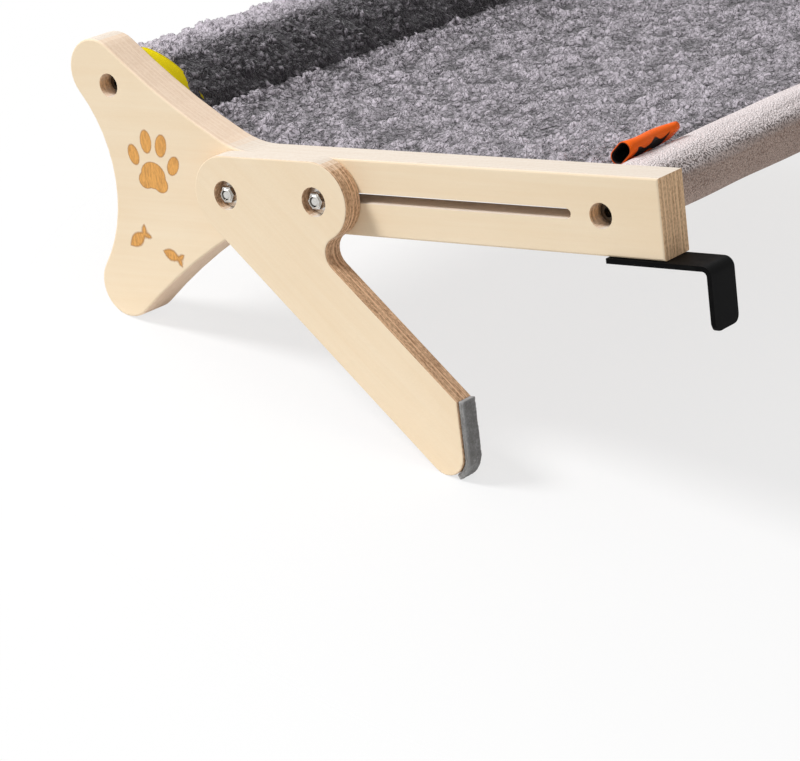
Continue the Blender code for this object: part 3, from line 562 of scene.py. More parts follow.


# Bolts, washers, lock nuts, rails and plugs
# Pressed and rolled steel hardware with bright zinc plating, slightly uneven and finely worn. The
# bolts sunk in the rails' ends are plated steel darkened with painted shade, and turned birch plugs take
# their threads.
ZINC = (0.74, 0.73, 0.70, 1)
ZINC_DULL = (0.50, 0.48, 0.45, 1)
ZINC_ROUGHNESS = (0.14, 0.30)
# Brownish near black: painted shade on the plated bolts sunk deep in the rails' ends
SUNK_BOLT_SHADE = (0.10, 0.08, 0.06, 1)
SUNK_BOLT_SHADE_DULL = (0.05, 0.04, 0.03, 1)
SUNK_BOLT_ROUGHNESS = (0.30, 0.45)
PLATING_PATCHES = 900.0
DULL_FROM, DULL_TO = 0.3, 0.7
PLATING_SCRATCHES = 4000.0
SCRATCH_BUMP = 0.04
SCRATCH_DEPTH = 0.0002


def worn_plating_group():
    """Bright and dull patches of plated steel, or of plated steel darkened with painted shade, with fine
    scratches for its bump.
    """
    group, given, out = new_group(
        "worn_plating",
        {"Vector": "V", "Bright": "C", "Dull": "C", "Polished": "F", "Worn": "F"},
        {"Color": "C", "Roughness": "F", "Height": "F"},
    )
    vector = given.outputs["Vector"]
    patches = noise_of(group, vector, PLATING_PATCHES, 3.0, 0.6)
    feed(group, out.inputs["Color"], blend(group, patches, given.outputs["Bright"], given.outputs["Dull"]))
    polished, worn = given.outputs["Polished"], given.outputs["Worn"]
    roughness = ramp(group, patches, DULL_FROM, DULL_TO, polished, worn)
    feed(group, out.inputs["Roughness"], roughness)
    feed(group, out.inputs["Height"], noise_of(group, vector, PLATING_SCRATCHES, 2.0))
    return group


worn_plating = worn_plating_group()


def hardware_steel(name, bright, dull, roughness):
    made, tree, shader = new_material(name, metallic=1.0)
    plating = use_group(
        tree, worn_plating, Vector=object_place(tree), Bright=bright, Dull=dull,
        Polished=roughness[0], Worn=roughness[1],
    )
    feed(tree, shader.inputs["Base Color"], plating["Color"])
    feed(tree, shader.inputs["Roughness"], plating["Roughness"])
    bumped(tree, shader, plating["Height"], SCRATCH_BUMP, SCRATCH_DEPTH)
    return made


bright_zinc = hardware_steel("bright_zinc", ZINC, ZINC_DULL, ZINC_ROUGHNESS)
shaded_sunk_steel = hardware_steel("shaded_sunk_steel", SUNK_BOLT_SHADE, SUNK_BOLT_SHADE_DULL, SUNK_BOLT_ROUGHNESS)
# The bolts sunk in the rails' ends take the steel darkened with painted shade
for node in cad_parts:
    if node.endswith("_rail_bolt"):
        finish_with(node, shaded_sunk_steel)
    elif node.endswith(("_bolt", "_washer", "_nut", "_screw_a", "_screw_b", "_rail")):
        finish_with(node, bright_zinc)
    elif node.endswith("_plug"):
        finish_with(node, board_finish)


# Sill hooks
# Steel strip bent once over the sill's rear edge, with a satin black powder coat. Each is held under
# its board with two countersunk screws.
HOOK_BLACK = (0.0035, 0.0035, 0.0038, 1)
HOOK_WORN = (0.008, 0.008, 0.008, 1)
HOOK_GLOSS = 0.03
POWDER_ROUGHNESS = (0.36, 0.48)
POWDER_DUST = 120.0
DUST_FROM, DUST_TO = 0.45, 0.80
POWDER_GRAINS = 2600.0
POWDER_BUMP = 0.10
POWDER_BUMP_DEPTH = 0.0002


def satin_black_powder():
    made, tree, shader = new_material("satin_black_powder", Specular_IOR_Level=HOOK_GLOSS)
    place = object_place(tree)
    dust = noise_of(tree, place, POWDER_DUST, 4.0, 0.6)
    dusty = ramp(tree, dust, DUST_FROM, DUST_TO)
    feed(tree, shader.inputs["Base Color"], blend(tree, dusty, HOOK_BLACK, HOOK_WORN))
    feed(tree, shader.inputs["Roughness"], ramp(tree, dust, DULL_FROM, DULL_TO, *POWDER_ROUGHNESS))
    bumped(tree, shader, noise_of(tree, place, POWDER_GRAINS, 1.0), POWDER_BUMP, POWDER_BUMP_DEPTH)
    return made


hook_finish = satin_black_powder()
for side in ("near", "far"):
    finish_with(f"{side}_sill_hook", hook_finish)


# Felt pads
# 3 mm pressed grey felt glued round the legs' feet. It is a die-cut strip, so its corners are soft and
# its cut sides look paler and hairy.
FELT_THICKNESS = 0.0032
FELT_GAP = 0.0003
FELT_WRAP = math.radians(62)
FELT_TURNS = 12
FELT_ROUNDING = 0.0009
FELT_STEP = 0.0007
FELT_CROSS_STEP = 0.0008
FELT_WORN_SIDE = 0.0012
FELT_WORN_TOP = 0.0010
FELT_SIDE_WEAR = 0.9
FELT_TOP_WEAR = 0.7
FELT_LUMP = 0.00022
FELT_LUMP_SIZE = 0.0011
FELT_LUMP_FADE = 0.6
FELT_LUMP_FINER = 2.0
FELT_LUMP_LAYERS = 3
FELT_SEED = 3
SEED_SHIFT = Vector((7.3, 3.1, 1.7))
FOOT_RADIUS = 0.011
FELT_GREY = (0.142, 0.138, 0.134, 1)
FELT_PALE = (0.33, 0.33, 0.33, 1)
FELT_WOOL_SCALE = 900.0
FELT_WOOL_TONE = 0.55
FELT_CLUMP_SCALE = 160.0
FELT_CLUMP_TONE = 0.45
FELT_PALE_FROM, FELT_PALE_TO = 0.42, 0.75
FELT_BUMP = 0.8
FELT_BUMP_DEPTH = 0.0005
CORNER_STEPS = 4


def on_arc(centre, radius, angle):
    return Vector((centre[0] + radius * math.cos(angle), centre[1] + radius * math.sin(angle)))


def evenly(points, step):
    """An open line of 2D points, resampled at about one spacing."""
    lengths = [0.0]
    for a, b in zip(points, points[1:]):
        lengths.append(lengths[-1] + (b - a).length)
    count = max(2, round(lengths[-1] / step))
    result, i = [], 0
    for n in range(count + 1):
        target = lengths[-1] * n / count
        while i < len(lengths) - 2 and lengths[i + 1] < target:
            i += 1
        share = (target - lengths[i]) / max(lengths[i + 1] - lengths[i], 1e-9)
        result.append(points[i].lerp(points[i + 1], share))
    return result


def outward_normals(points, closed=False):
    """Left-hand normal at each point of a 2D line."""
    result = []
    last = len(points) - 1
    for i, point in enumerate(points):
        before = points[i - 1] if closed or i > 0 else point
        after = points[(i + 1) % len(points)] if closed or i < last else point
        run = (after - before).normalized()
        result.append(Vector((-run.y, run.x)))
    return result


def mesh_piece(name, vertices, faces, material):
    mesh = bpy.data.meshes.new(name)
    mesh.from_pydata([tuple(v) for v in vertices], [], faces)
    mesh.validate()
    bm = bmesh.new()
    bm.from_mesh(mesh)
    bmesh.ops.recalc_face_normals(bm, faces=bm.faces)
    bm.to_mesh(mesh)
    bm.free()
    mesh.shade_smooth()
    mesh.materials.append(material)
    made = bpy.data.objects.new(name, mesh)
    scene.collection.objects.link(made)
    return made


def joined_rings(rings, count, closed=False):
    """Faces from each ring of points to the next, and from the last to the first where closed."""
    faces = []
    for i in range(rings if closed else rings - 1):
        a, b = i * count, (i + 1) % rings * count
        for j in range(count):
            k = (j + 1) % count
            faces.append((a + j, a + k, b + k, b + j))
    return faces


def end_caps(rings, count):
    return [tuple(range(count)), tuple(range((rings - 1) * count, rings * count))]


def swept_strip(name, line, sections, material, closed=False):
    """Joins one closed cross-section per point of a line in the XZ plane; a section gives (out, y) pairs."""
    vertices = []
    for point, out, section in zip(line, outward_normals(line, closed), sections):
        for distance, y in section:
            spot = point + out * distance
            vertices.append((spot.x, y, spot.y))
    count = len(sections[0])
    faces = joined_rings(len(line), count, closed)
    if not closed:
        faces += end_caps(len(line), count)
    return mesh_piece(name, vertices, faces, material)


def rounded_box(low, high, y_low, y_high, rounding):
    """Cross-section of a strip with rounded corners, as (out, y) pairs."""
    corners = ((high, y_high, 0), (low, y_high, 1), (low, y_low, 2), (high, y_low, 3))
    section = []
    for out, y, quarter in corners:
        middle_out = out - rounding if out == high else out + rounding
        middle_y = y - rounding if y == y_high else y + rounding
        for i in range(CORNER_STEPS + 1):
            angle = (quarter + i / CORNER_STEPS) * math.pi / 2
            section.append((middle_out + rounding * math.cos(angle), middle_y + rounding * math.sin(angle)))
    return section


def closer_spaced(section, step):
    """A closed cross-section with more points along its straight sides."""
    result = []
    for (out_a, y_a), (out_b, y_b) in zip(section, section[1:] + section[:1]):
        parts = max(1, round(math.hypot(out_b - out_a, y_b - y_a) / step))
        for n in range(parts):
            result.append((out_a + (out_b - out_a) * n / parts, y_a + (y_b - y_a) * n / parts))
    return result


def worn_on_edges(pad, section, y_low, y_high, top):
    """Marks the pad's cut sides and upper end, where the felt is pale."""
    worn = pad.data.attributes.new("worn", "FLOAT", "POINT")
    for i, vertex in enumerate(pad.data.vertices):
        out, y = section[i % len(section)]
        to_side = min(y - y_low, y_high - y)
        at_edge = max(0.0, 1 - (to_side + FELT_THICKNESS - out) / FELT_WORN_SIDE)
        at_top = max(0.0, 1 - (top - vertex.co.z) / FELT_WORN_TOP)
        worn.data[i].value = min(1.0, FELT_SIDE_WEAR * at_edge + FELT_TOP_WEAR * at_top)


def roughened(piece, amount, size, seed):
    """Moves each vertex a little along its normal."""
    for vertex in piece.data.vertices:
        spot = vertex.co / size + SEED_SHIFT * seed
        move = noise.fractal(spot, FELT_LUMP_FADE, FELT_LUMP_FINER, FELT_LUMP_LAYERS)
        vertex.co += vertex.normal * amount * move


def pressed_grey_felt():
    made, tree, shader = new_material(
        "pressed_grey_felt", roughness=1.0, Specular_IOR_Level=0.1, Sheen_Weight=0.35, Sheen_Roughness=0.6
    )
    place = object_place(tree)
    wool = noise_of(tree, place, FELT_WOOL_SCALE, 4.0, 0.75)
    clumps = noise_of(tree, place, FELT_CLUMP_SCALE, 3.0, 0.6)
    wool_tone = calc(tree, "MULTIPLY", wool, FELT_WOOL_TONE)
    tone = calc(tree, "ADD", wool_tone, calc(tree, "MULTIPLY", clumps, FELT_CLUMP_TONE))
    tone = ramp(tree, tone, FELT_PALE_FROM, FELT_PALE_TO)
    worn = add_node(tree, "ShaderNodeAttribute", attribute_name="worn").outputs["Fac"]
    tone = calc(tree, "ADD", tone, worn, clamp=True)
    feed(tree, shader.inputs["Base Color"], blend(tree, tone, FELT_GREY, FELT_PALE))
    bumped(tree, shader, wool, FELT_BUMP, FELT_BUMP_DEPTH)
    return made


felt_finish = pressed_grey_felt()
for side, sign in (("near", -1), ("far", 1)):
    low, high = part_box(f"{side}_leg_felt_pad")
    face = FOOT_RADIUS + FELT_GAP
    under = math.sin(FELT_WRAP) * (face + FELT_THICKNESS)
    foot = Vector((high.x - FELT_THICKNESS - FELT_GAP - FOOT_RADIUS, low.z + under))
    line = [Vector((foot.x + face, high.z))]
    line += [on_arc(foot, face, -FELT_WRAP * i / FELT_TURNS) for i in range(FELT_TURNS + 1)]
    line = evenly(line, FELT_STEP)
    section = rounded_box(0.0, FELT_THICKNESS, low.y, high.y, FELT_ROUNDING)
    section = closer_spaced(section, FELT_CROSS_STEP)
    pad = swept_strip(f"{side}_felt_strip", line, [section] * len(line), felt_finish)
    worn_on_edges(pad, section, low.y, high.y, high.z)
    roughened(pad, FELT_LUMP, FELT_LUMP_SIZE, FELT_SEED + sign)
    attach(pad, f"{side}_leg_unit")
    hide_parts(f"{side}_leg_felt_pad")


# Fleece roll
# Curly grey sherpa over padding, with short plush as its back, sewn round the front rail and down its
# rear to a valley where the seat begins. Its ends are bound, and the pile leaves the binding bare there.
ROLL_RADIUS = 0.014
ROLL_BACK_ANGLE = math.radians(75)
ROLL_TURNS = 90
ROLL_PILED_TURNS = 69
ROLL_BACK_STEPS = 60
ROLL_BACK_LEAVES = 0.5
VALLEY_APPROACH = Vector((-0.12, 0.35))
ROLL_STEP = 0.00095
PLUSH_STEP = 0.004
PLUSH_ROWS_HIDDEN = 2
EDGE_THICKNESS = 0.008
SEAM_GAP = 0.0003
TAPE_WIDTH = 0.009
TAPE_THICKNESS = 0.0012
TAPE_HIDES_FROM = 0.25
TAPE_HIDES_OVER = 0.62
SEAT_ENDS_AT = Vector((-0.0120, 0.015))

# The pile: curls with partings and furrows between them, in tufts
CURL_SIZE = 0.0046
CURL_HEIGHT = 0.0036
CURL_SUNK = 0.0009
CURL_SEED = 1
CURL_ROUND = 0.35
BEND_SIZE = 0.0060
CURL_BEND = 0.9
FURROW_BEND = 1.2
PARTING = 0.30
PARTING_LEAST = 0.35
FURROW_SIZE = 0.0058
FURROW_SHARP = 6.0
FURROW_LEAST = 0.40
TUFT_SIZE = 0.0096
TUFT_MIDDLE = 0.78
TUFT_CHANGE = 0.90

# The pile thins out over the binding, stands up beside it and is held down by the rear seam
PILE_INSET = 0.0004
PILE_LEAN = 0.0006
PILE_RISE = 0.0014
PILE_BESIDE = 0.0005
PILE_BESIDE_REACH = 0.006
PILE_OVER_TAPE = 0.0003
PILE_OVER_FROM = 0.75
TAPE_HIDDEN_FROM = 0.98
BOUND_DIP = 0.0034
SEAM_PULL = 0.009
SEAM_DROP = 0.0032
SEAM_HELD = 0.25

# Along its top the roll takes painted light, and its rear face takes painted shade that also evens its pile
LIT_CREST_FROM = 0.86
LIT_CREST_TONE = 1.10
SHADED_REAR_FROM = 0.15
SHADED_REAR_OVER = 0.55
SHADED_REAR_EVENED = 0.50
SHADED_REAR_TONE = 0.30

# Sherpa: how fine its patterns are, and how much each of them and the pile's height change the shade
# Low pile, partings and furrows are darkened: painted shade between the curls
FLEECE_LIGHT = (0.57, 0.52, 0.575, 1)
FLEECE_DARK = (0.045, 0.040, 0.046, 1)
FLEECE_SHADE_FROM, FLEECE_SHADE_TO = 0.20, 1.20
FLEECE_BUMP_DEPTH = 0.0010
PILE_TONE = 0.76
RELIEF_TONE = 0.46
WARP_SCALE = 260.0
PARTING_WIDTH = 0.16
FURROW_SCALE = 340.0
FURROW_WIDTH = 0.055
TUFT_SCALE = 330.0
TUFT_TONE = 0.55
TUFT_RELIEF = 0.6
HAIR_SCALE = 1000.0
HAIR_TONE = 0.25
PATCH_SCALE = 60.0
PATCH_TONE = 0.4

# Plush: its loops, the way they are brushed, painted light on top, and painted shade below and in specks
# where the light grazes them
# Lit and shaded copies of the taupe plush: painted light on its top, painted shade below
PLUSH_LIT_WHITE = (0.98, 0.89, 0.89, 1)
PLUSH_LIT_MIDDLE = (0.80, 0.69, 0.68, 1)
PLUSH_SHADED_PALE = (0.64, 0.48, 0.41, 1)
PLUSH_SHADED_DEEP = (0.31, 0.21, 0.17, 1)
PLUSH_SHADE = (0.11, 0.078, 0.065, 1)
PLUSH_LOOPS = 980.0
PLUSH_BUMP_DEPTH = 0.0008
PLUSH_LIT_FROM, PLUSH_LIT_TO = 0.10, 0.62
BRUSHED_STRETCH = (1.0, 0.35, 1.0)
BRUSHED_SCALE = 90.0
BRUSHED_TONE = 0.35
NAP_FROM, NAP_TO = 0.05, 0.80
SPECK_FROM, SPECK_TO = 0.50, 0.56
# Dark specks of painted shade in a band where the light grazes the sleeve's side
SPECK_BAND = 0.50
SPECK_BAND_FROM, SPECK_BAND_TO = 0.40, 0.06
SPECKS_LEAST, SPECKS_MOST = 0.10, 0.85


def middle_of(box):
    """Middle of a piece in the XZ plane."""
    middle = (box[0] + box[1]) / 2
    return Vector((middle.x, middle.z))


front_rail = middle_of(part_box("front_rail"))
rear_rail = middle_of(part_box("rear_rail"))
seat_low, seat_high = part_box("seat_panel")
seat_half = seat_high.y
cover_half = seat_half + SEAM_GAP + TAPE_THICKNESS
valley = Vector((seat_low.x - SEAM_GAP, seat_high.z))
seat_rear = rear_rail + SEAT_ENDS_AT


def bezier(start, start_handle, end_handle, end, steps):
    points = (start, start_handle, end_handle, end)
    return [Vector(p[:2]) for p in interpolate_bezier(*(q.to_3d() for q in points), steps + 1)]


def smooth(share):
    share = min(max(share, 0.0), 1.0)
    return share * share * (3 - 2 * share)


def roll_section():
    """Outline of the roll: round its front from top to underside, the low rear corner, and its rear face."""
    top = on_arc(front_rail, ROLL_RADIUS, ROLL_BACK_ANGLE)
    leaving = Vector((math.sin(ROLL_BACK_ANGLE), -math.cos(ROLL_BACK_ANGLE)))
    reach = valley.x - top.x
    back = bezier(
        top, top + leaving * reach * ROLL_BACK_LEAVES, valley + VALLEY_APPROACH * reach, valley,
        ROLL_BACK_STEPS,
    )
    under = Vector((valley.x, valley.y - EDGE_THICKNESS))
    away = under - front_rail
    last = math.atan2(away.y, away.x) - math.acos(ROLL_RADIUS / away.length) + math.tau
    front = [
        on_arc(front_rail, ROLL_RADIUS, ROLL_BACK_ANGLE + (last - ROLL_BACK_ANGLE) * i / ROLL_TURNS)
        for i in range(ROLL_TURNS + 1)
    ]
    return front, under, back


def shown_tape(height):
    """Width of the binding that the pile leaves bare on the roll, by height above the valley."""
    share = (front_rail.y + ROLL_RADIUS - height) / (front_rail.y + ROLL_RADIUS - valley.y)
    return TAPE_WIDTH * (1 - smooth((share - TAPE_HIDES_FROM) / TAPE_HIDES_OVER))


def roll_tone(height, normal):
    """Tone of the pile on the roll, by its height, with painted light on its crest and painted shade on its
    rear face.
    """
    rear = smooth((normal.x - SHADED_REAR_FROM) / SHADED_REAR_OVER)
    lit_crest = smooth((normal.z - LIT_CREST_FROM) / (1 - LIT_CREST_FROM))
    return height * (1 - SHADED_REAR_EVENED * rear) + LIT_CREST_TONE * lit_crest - SHADED_REAR_TONE * rear


def curl(spot):
    """Height of the sherpa pile at a place, from 0 in the gaps to about 1 on a curl."""
    drift = noise.noise_vector(spot / BEND_SIZE)
    near, second = noise.voronoi(spot / CURL_SIZE + drift * CURL_BEND)[0][:2]
    parted = min(1.0, (second - near) / PARTING)
    furrow = min(1.0, abs(noise.noise(spot / FURROW_SIZE + drift * FURROW_BEND)) * FURROW_SHARP)
    tuft = TUFT_MIDDLE + TUFT_CHANGE * noise.noise(spot / TUFT_SIZE)
    crown = 1 - CURL_ROUND * near**2
    parted = PARTING_LEAST + (1 - PARTING_LEAST) * parted
    furrow = FURROW_LEAST + (1 - FURROW_LEAST) * furrow
    return max(0.0, crown * parted * furrow * tuft)


def piled_pad(name, columns, rings, piled_rows, backing_from, bare, tone):
    """A closed pad from one section at each place across the perch. Its first rows carry the pile, which
    sinks under the binding where bare gives a width, is drawn down at the rear seam and takes its shade
    from tone; the rows after backing_from are plain plush."""
    count = len(rings[0])
    vertices = [Vector((p.x, y, p.y)) for y, ring in zip(columns, rings) for p in ring]
    faces = joined_rings(len(columns), count) + end_caps(len(columns), count)
    piece = mesh_piece(name, vertices, faces, fleece_finish)
    piece.data.materials.append(plush_finish)
    for face in piece.data.polygons:
        if len(face.vertices) == 4 and all(v % count >= backing_from for v in face.vertices):
            face.material_index = 1
    pile = piece.data.attributes.new("pile", "FLOAT", "POINT")
    normals = [v.normal.copy() for v in piece.data.vertices]
    for i, vertex in enumerate(piece.data.vertices):
        column, row = divmod(i, count)
        if row >= piled_rows:
            if vertex.co.x > seat_rear.x - SEAM_PULL / 2:
                vertex.co.z = min(vertex.co.z, rings[column][piled_rows - 1].y - SEAM_DROP)
            continue
        height = curl(vertex.co)
        pile.data[i].value = tone(height, normals[i])
        width = bare(vertex.co.z)
        cover = 1 - width / TAPE_WIDTH
        inside = cover_half - width - abs(vertex.co.y)
        standing = smooth((inside + PILE_LEAN) / PILE_RISE) if cover < TAPE_HIDDEN_FROM else 1.0
        lift = height * CURL_HEIGHT - CURL_SUNK + PILE_BESIDE * (1 - smooth(inside / PILE_BESIDE_REACH))
        loose = smooth((seat_rear.x - vertex.co.x) / SEAM_PULL)
        lift *= standing * (SEAM_HELD + (1 - SEAM_HELD) * loose)
        vertex.co.z -= SEAM_DROP * (1 - loose)
        vertex.co += normals[i] * (lift - BOUND_DIP * (1 - standing))
        if column in (0, len(columns) - 1):
            over = math.copysign(PILE_OVER_TAPE + PILE_INSET, vertex.co.y)
            vertex.co.y += over * smooth((cover - PILE_OVER_FROM) / (1 - PILE_OVER_FROM))
    return piece


def places_across(half, step):
    count = round(2 * half / step)
    return [-half + 2 * half * i / count for i in range(count + 1)]


def curly_grey_sherpa():
    """Curls parted by dark lines and paler the higher the pile stands, both painted shade between the curls.
    """
    made, tree, shader = new_material(
        "curly_grey_sherpa", roughness=1.0, Specular_IOR_Level=0.08, Sheen_Weight=0.30, Sheen_Roughness=0.5
    )
    place = object_place(tree)
    warp = add_node(tree, "ShaderNodeTexNoise")
    feed(tree, warp.inputs["Vector"], place)
    warp.inputs["Scale"].default_value = WARP_SCALE
    bend = add_node(tree, "ShaderNodeVectorMath", operation="MULTIPLY_ADD")
    feed(tree, bend.inputs[0], warp.outputs["Color"])
    bend.inputs[1].default_value = (CURL_SIZE, CURL_SIZE, CURL_SIZE)
    feed(tree, bend.inputs[2], place)
    bent = bend.outputs["Vector"]
    parting = cells_of(tree, bent, 1 / CURL_SIZE, "DISTANCE_TO_EDGE")
    parting = ramp(tree, parting, 0.0, PARTING_WIDTH)
    furrow = calc(tree, "SUBTRACT", noise_of(tree, bent, FURROW_SCALE, 1.0), 0.5)
    furrow = ramp(tree, calc(tree, "ABSOLUTE", furrow), 0.0, FURROW_WIDTH)
    hairs = noise_of(tree, place, HAIR_SCALE, 2.0, 0.7)
    tufts = noise_of(tree, place, TUFT_SCALE, 2.0, 0.6)
    patches = noise_of(tree, place, PATCH_SCALE, 3.0, 0.6)
    relief = calc(tree, "ADD", calc(tree, "MULTIPLY", parting, 0.5), calc(tree, "MULTIPLY", furrow, 0.5))
    # The pile's tone: darker where the pile is low, as painted shade, and on the roll with painted light on
    # its crest and painted shade on its rear face
    height = add_node(tree, "ShaderNodeAttribute", attribute_name="pile").outputs["Fac"]
    level = calc(tree, "MULTIPLY", height, PILE_TONE)
    level = calc(tree, "ADD", level, calc(tree, "MULTIPLY", relief, RELIEF_TONE))
    for pattern, amount in ((tufts, TUFT_TONE), (hairs, HAIR_TONE), (patches, PATCH_TONE)):
        level = varied(tree, level, pattern, amount)
    shade = ramp(tree, level, FLEECE_SHADE_FROM, FLEECE_SHADE_TO)
    feed(tree, shader.inputs["Base Color"], blend(tree, shade, FLEECE_DARK, FLEECE_LIGHT))
    relief = calc(tree, "ADD", relief, calc(tree, "MULTIPLY", tufts, TUFT_RELIEF))
    bumped(tree, shader, relief, 1.0, FLEECE_BUMP_DEPTH)
    return made


def taupe_short_plush():
    """Short loops with painted light nearly white on top, painted shade below and dark specks of painted
    shade where the light grazes them.
    """
    made, tree, shader = new_material(
        "taupe_short_plush", roughness=0.9, Specular_IOR_Level=0.15, Sheen_Weight=0.25, Sheen_Roughness=0.40
    )
    places = add_node(tree, "ShaderNodeTexCoord")
    place = places.outputs["Object"]
    upward = parts_of(tree, places.outputs["Normal"])["Z"]
    nap = calc(tree, "SUBTRACT", 1.0, cells_of(tree, place, PLUSH_LOOPS))
    brushed = noise_of(tree, stretched(tree, place, BRUSHED_STRETCH), BRUSHED_SCALE, 3.0)
    level = ramp(tree, varied(tree, nap, brushed, BRUSHED_TONE), NAP_FROM, NAP_TO)
    shaded_below = blend(tree, level, PLUSH_SHADED_DEEP, PLUSH_SHADED_PALE)
    lit_above = blend(tree, level, PLUSH_LIT_MIDDLE, PLUSH_LIT_WHITE)
    painted_light_on_top = ramp(tree, upward, PLUSH_LIT_FROM, PLUSH_LIT_TO)
    colour = blend(tree, painted_light_on_top, shaded_below, lit_above)
    specks = ramp(tree, noise_of(tree, place, PLUSH_LOOPS, 0.0), SPECK_FROM, SPECK_TO)
    from_band = calc(tree, "ABSOLUTE", calc(tree, "SUBTRACT", upward, SPECK_BAND))
    grazed = ramp(tree, from_band, SPECK_BAND_FROM, SPECK_BAND_TO, SPECKS_LEAST, SPECKS_MOST)
    specks = calc(tree, "MULTIPLY", specks, grazed)
    feed(tree, shader.inputs["Base Color"], blend(tree, specks, colour, PLUSH_SHADE))
    bumped(tree, shader, nap, 1.0, PLUSH_BUMP_DEPTH)
    return made


fleece_finish = curly_grey_sherpa()
plush_finish = taupe_short_plush()

noise.seed_set(CURL_SEED)
front, under, back = roll_section()
piled = list(reversed(front[:ROLL_PILED_TURNS + 1])) + back[1:]
piled = evenly(piled, ROLL_STEP)
plain = [back[-1], under] + list(reversed(front[ROLL_PILED_TURNS:]))
plain = evenly(plain, PLUSH_STEP)[1:-1]
columns = places_across(cover_half - PILE_INSET, ROLL_STEP)
fleece_roll = piled_pad(
    "fleece_roll", columns, [piled + plain] * len(columns), len(piled), len(piled) + PLUSH_ROWS_HIDDEN,
    shown_tape, roll_tone,
)
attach(fleece_roll, "frame")
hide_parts("front_roll")


# Fleece seat
# The same cover, from the valley back to the seam before the rear rail. It sags a little and gets
# thinner towards its bound sides, where the pile stands over the binding. Its underside is plush.
SEAT_THICKNESS = 0.012
SEAT_SAG = 0.003
SEAT_STEP = 0.00118
SEAT_STEPS = 200
SEAT_UNDER_STEP = 16
SEAT_ROWS_HIDDEN = 3
SEAT_DIVES = Vector((0.10, -0.95))
SEAT_LEVELS = 0.48
EDGE_DROP = 0.005
EDGE_DROP_FROM = 0.3
EDGE_RISES = 0.7
EDGE_FLAT = 0.009
EDGE_SLOPE = 0.026
SLEEVE_RADIUS = 0.0155
HOLLOW_STEPS = 6

sleeve_middle = middle_of(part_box("rear_sleeve"))


def edge_share(y):
    """0 in the middle of the cover and 1 at its bound sides."""
    return smooth((abs(y) - (seat_half - EDGE_FLAT - EDGE_SLOPE)) / EDGE_SLOPE)


def seat_top(edge):
    """Top line of the seat from the valley to the rear seam, lower where edge is 1."""
    start = valley + Vector((SEAM_GAP, 0))
    run = seat_rear.x - start.x
    fall = start.y - seat_rear.y
    dive = start + Vector((run * SEAT_DIVES.x, fall * SEAT_DIVES.y))
    line = bezier(start, dive, seat_rear - Vector((run * SEAT_LEVELS, 0)), seat_rear, SEAT_STEPS)
    shaped = []
    for i, point in enumerate(line):
        share = i / SEAT_STEPS
        drop = EDGE_DROP * edge * smooth(share / EDGE_DROP_FROM) * (1 - EDGE_RISES * share**4)
        sag = SEAT_SAG * (1 - edge) * math.sin(math.pi * share)
        shaped.append(point - Vector((0, drop + sag)))
    return shaped


def seat_section(y):
    """Section along the seat at one place across the perch: its top line, then its hollow end against
    the sleeve and its underside."""
    edge = edge_share(y)
    top = seat_top(edge)
    hollow = SLEEVE_RADIUS + SEAM_GAP
    end = top[-1]
    high = math.acos((end.x - sleeve_middle.x) / hollow)
    low = math.pi - math.asin((end.y - EDGE_THICKNESS - sleeve_middle.y) / hollow)
    rear = [
        on_arc(sleeve_middle, hollow, high + (low - high) * i / HOLLOW_STEPS) for i in range(HOLLOW_STEPS + 1)
    ]
    crown = (SEAT_THICKNESS - EDGE_THICKNESS) * (1 - edge)
    below = []
    for i in range(0, SEAT_STEPS - HOLLOW_STEPS, SEAT_UNDER_STEP):
        puff = crown * math.sin(math.pi * i / SEAT_STEPS) ** 0.5
        below.append(top[i] - Vector((0, EDGE_THICKNESS + puff)))
    return top, rear + list(reversed(below))


def line_length(points):
    return sum((b - a).length for a, b in zip(points, points[1:]))


def no_tape(height):
    """The pile covers the seat's binding at every height."""
    return 0.0


def seat_tone(height, normal):
    """The seat's pile is shaded by its height alone."""
    return height


rows = round(line_length(seat_top(0)) / SEAT_STEP)
columns = places_across(cover_half - PILE_INSET, SEAT_STEP)
rings = []
for y in columns:
    top, rest = seat_section(y)
    rings.append(evenly(top, line_length(top) / rows) + rest)
fleece_seat = piled_pad(
    "fleece_seat", columns, rings, rows + 1, rows + 1 + SEAT_ROWS_HIDDEN, no_tape, seat_tone
)
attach(fleece_seat, "frame")
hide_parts("seat_panel")


# Rear sleeve
# A tube of the cover's short taupe plush, sewn round the rear rail. It is fuller on top, where the seat
# is sewn on, is drawn in at both ends and has soft waves along it.
SLEEVE_BORE = 0.0113
SLEEVE_CROWN = 0.0009
SLEEVE_CROWN_FROM = 0.02
SLEEVE_PINCH = 0.0008
SLEEVE_PINCH_OVER = 0.004
SLEEVE_WAVE = 0.0007
SLEEVE_WAVE_LENGTH = 0.05
SLEEVE_WAVES_ROUND = 3
SLEEVE_STEP = 0.0030
SLEEVE_ROUND = 72

sleeve_low, sleeve_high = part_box("rear_sleeve")
stations = round((sleeve_high.y - sleeve_low.y) / SLEEVE_STEP)
vertices = []
for i in range(stations + 1):
    y = sleeve_low.y + (sleeve_high.y - sleeve_low.y) * i / stations
    to_end = min(y - sleeve_low.y, sleeve_high.y - y)
    pinch = SLEEVE_PINCH * (1 - smooth(to_end / SLEEVE_PINCH_OVER))
    for j in range(SLEEVE_ROUND):
        angle = math.tau * j / SLEEVE_ROUND
        spot = on_arc(sleeve_middle, 1.0, angle)
        wave = Vector((spot.x * SLEEVE_WAVES_ROUND, y / SLEEVE_WAVE_LENGTH, spot.y * SLEEVE_WAVES_ROUND))
        swell = noise.noise(wave) * SLEEVE_WAVE
        swell += SLEEVE_CROWN * smooth(math.sin(angle)) * smooth(to_end / SLEEVE_CROWN_FROM)
        place = on_arc(sleeve_middle, SLEEVE_RADIUS - pinch + swell, angle)
        vertices.append((place.x, y, place.y))
faces = joined_rings(stations + 1, SLEEVE_ROUND)
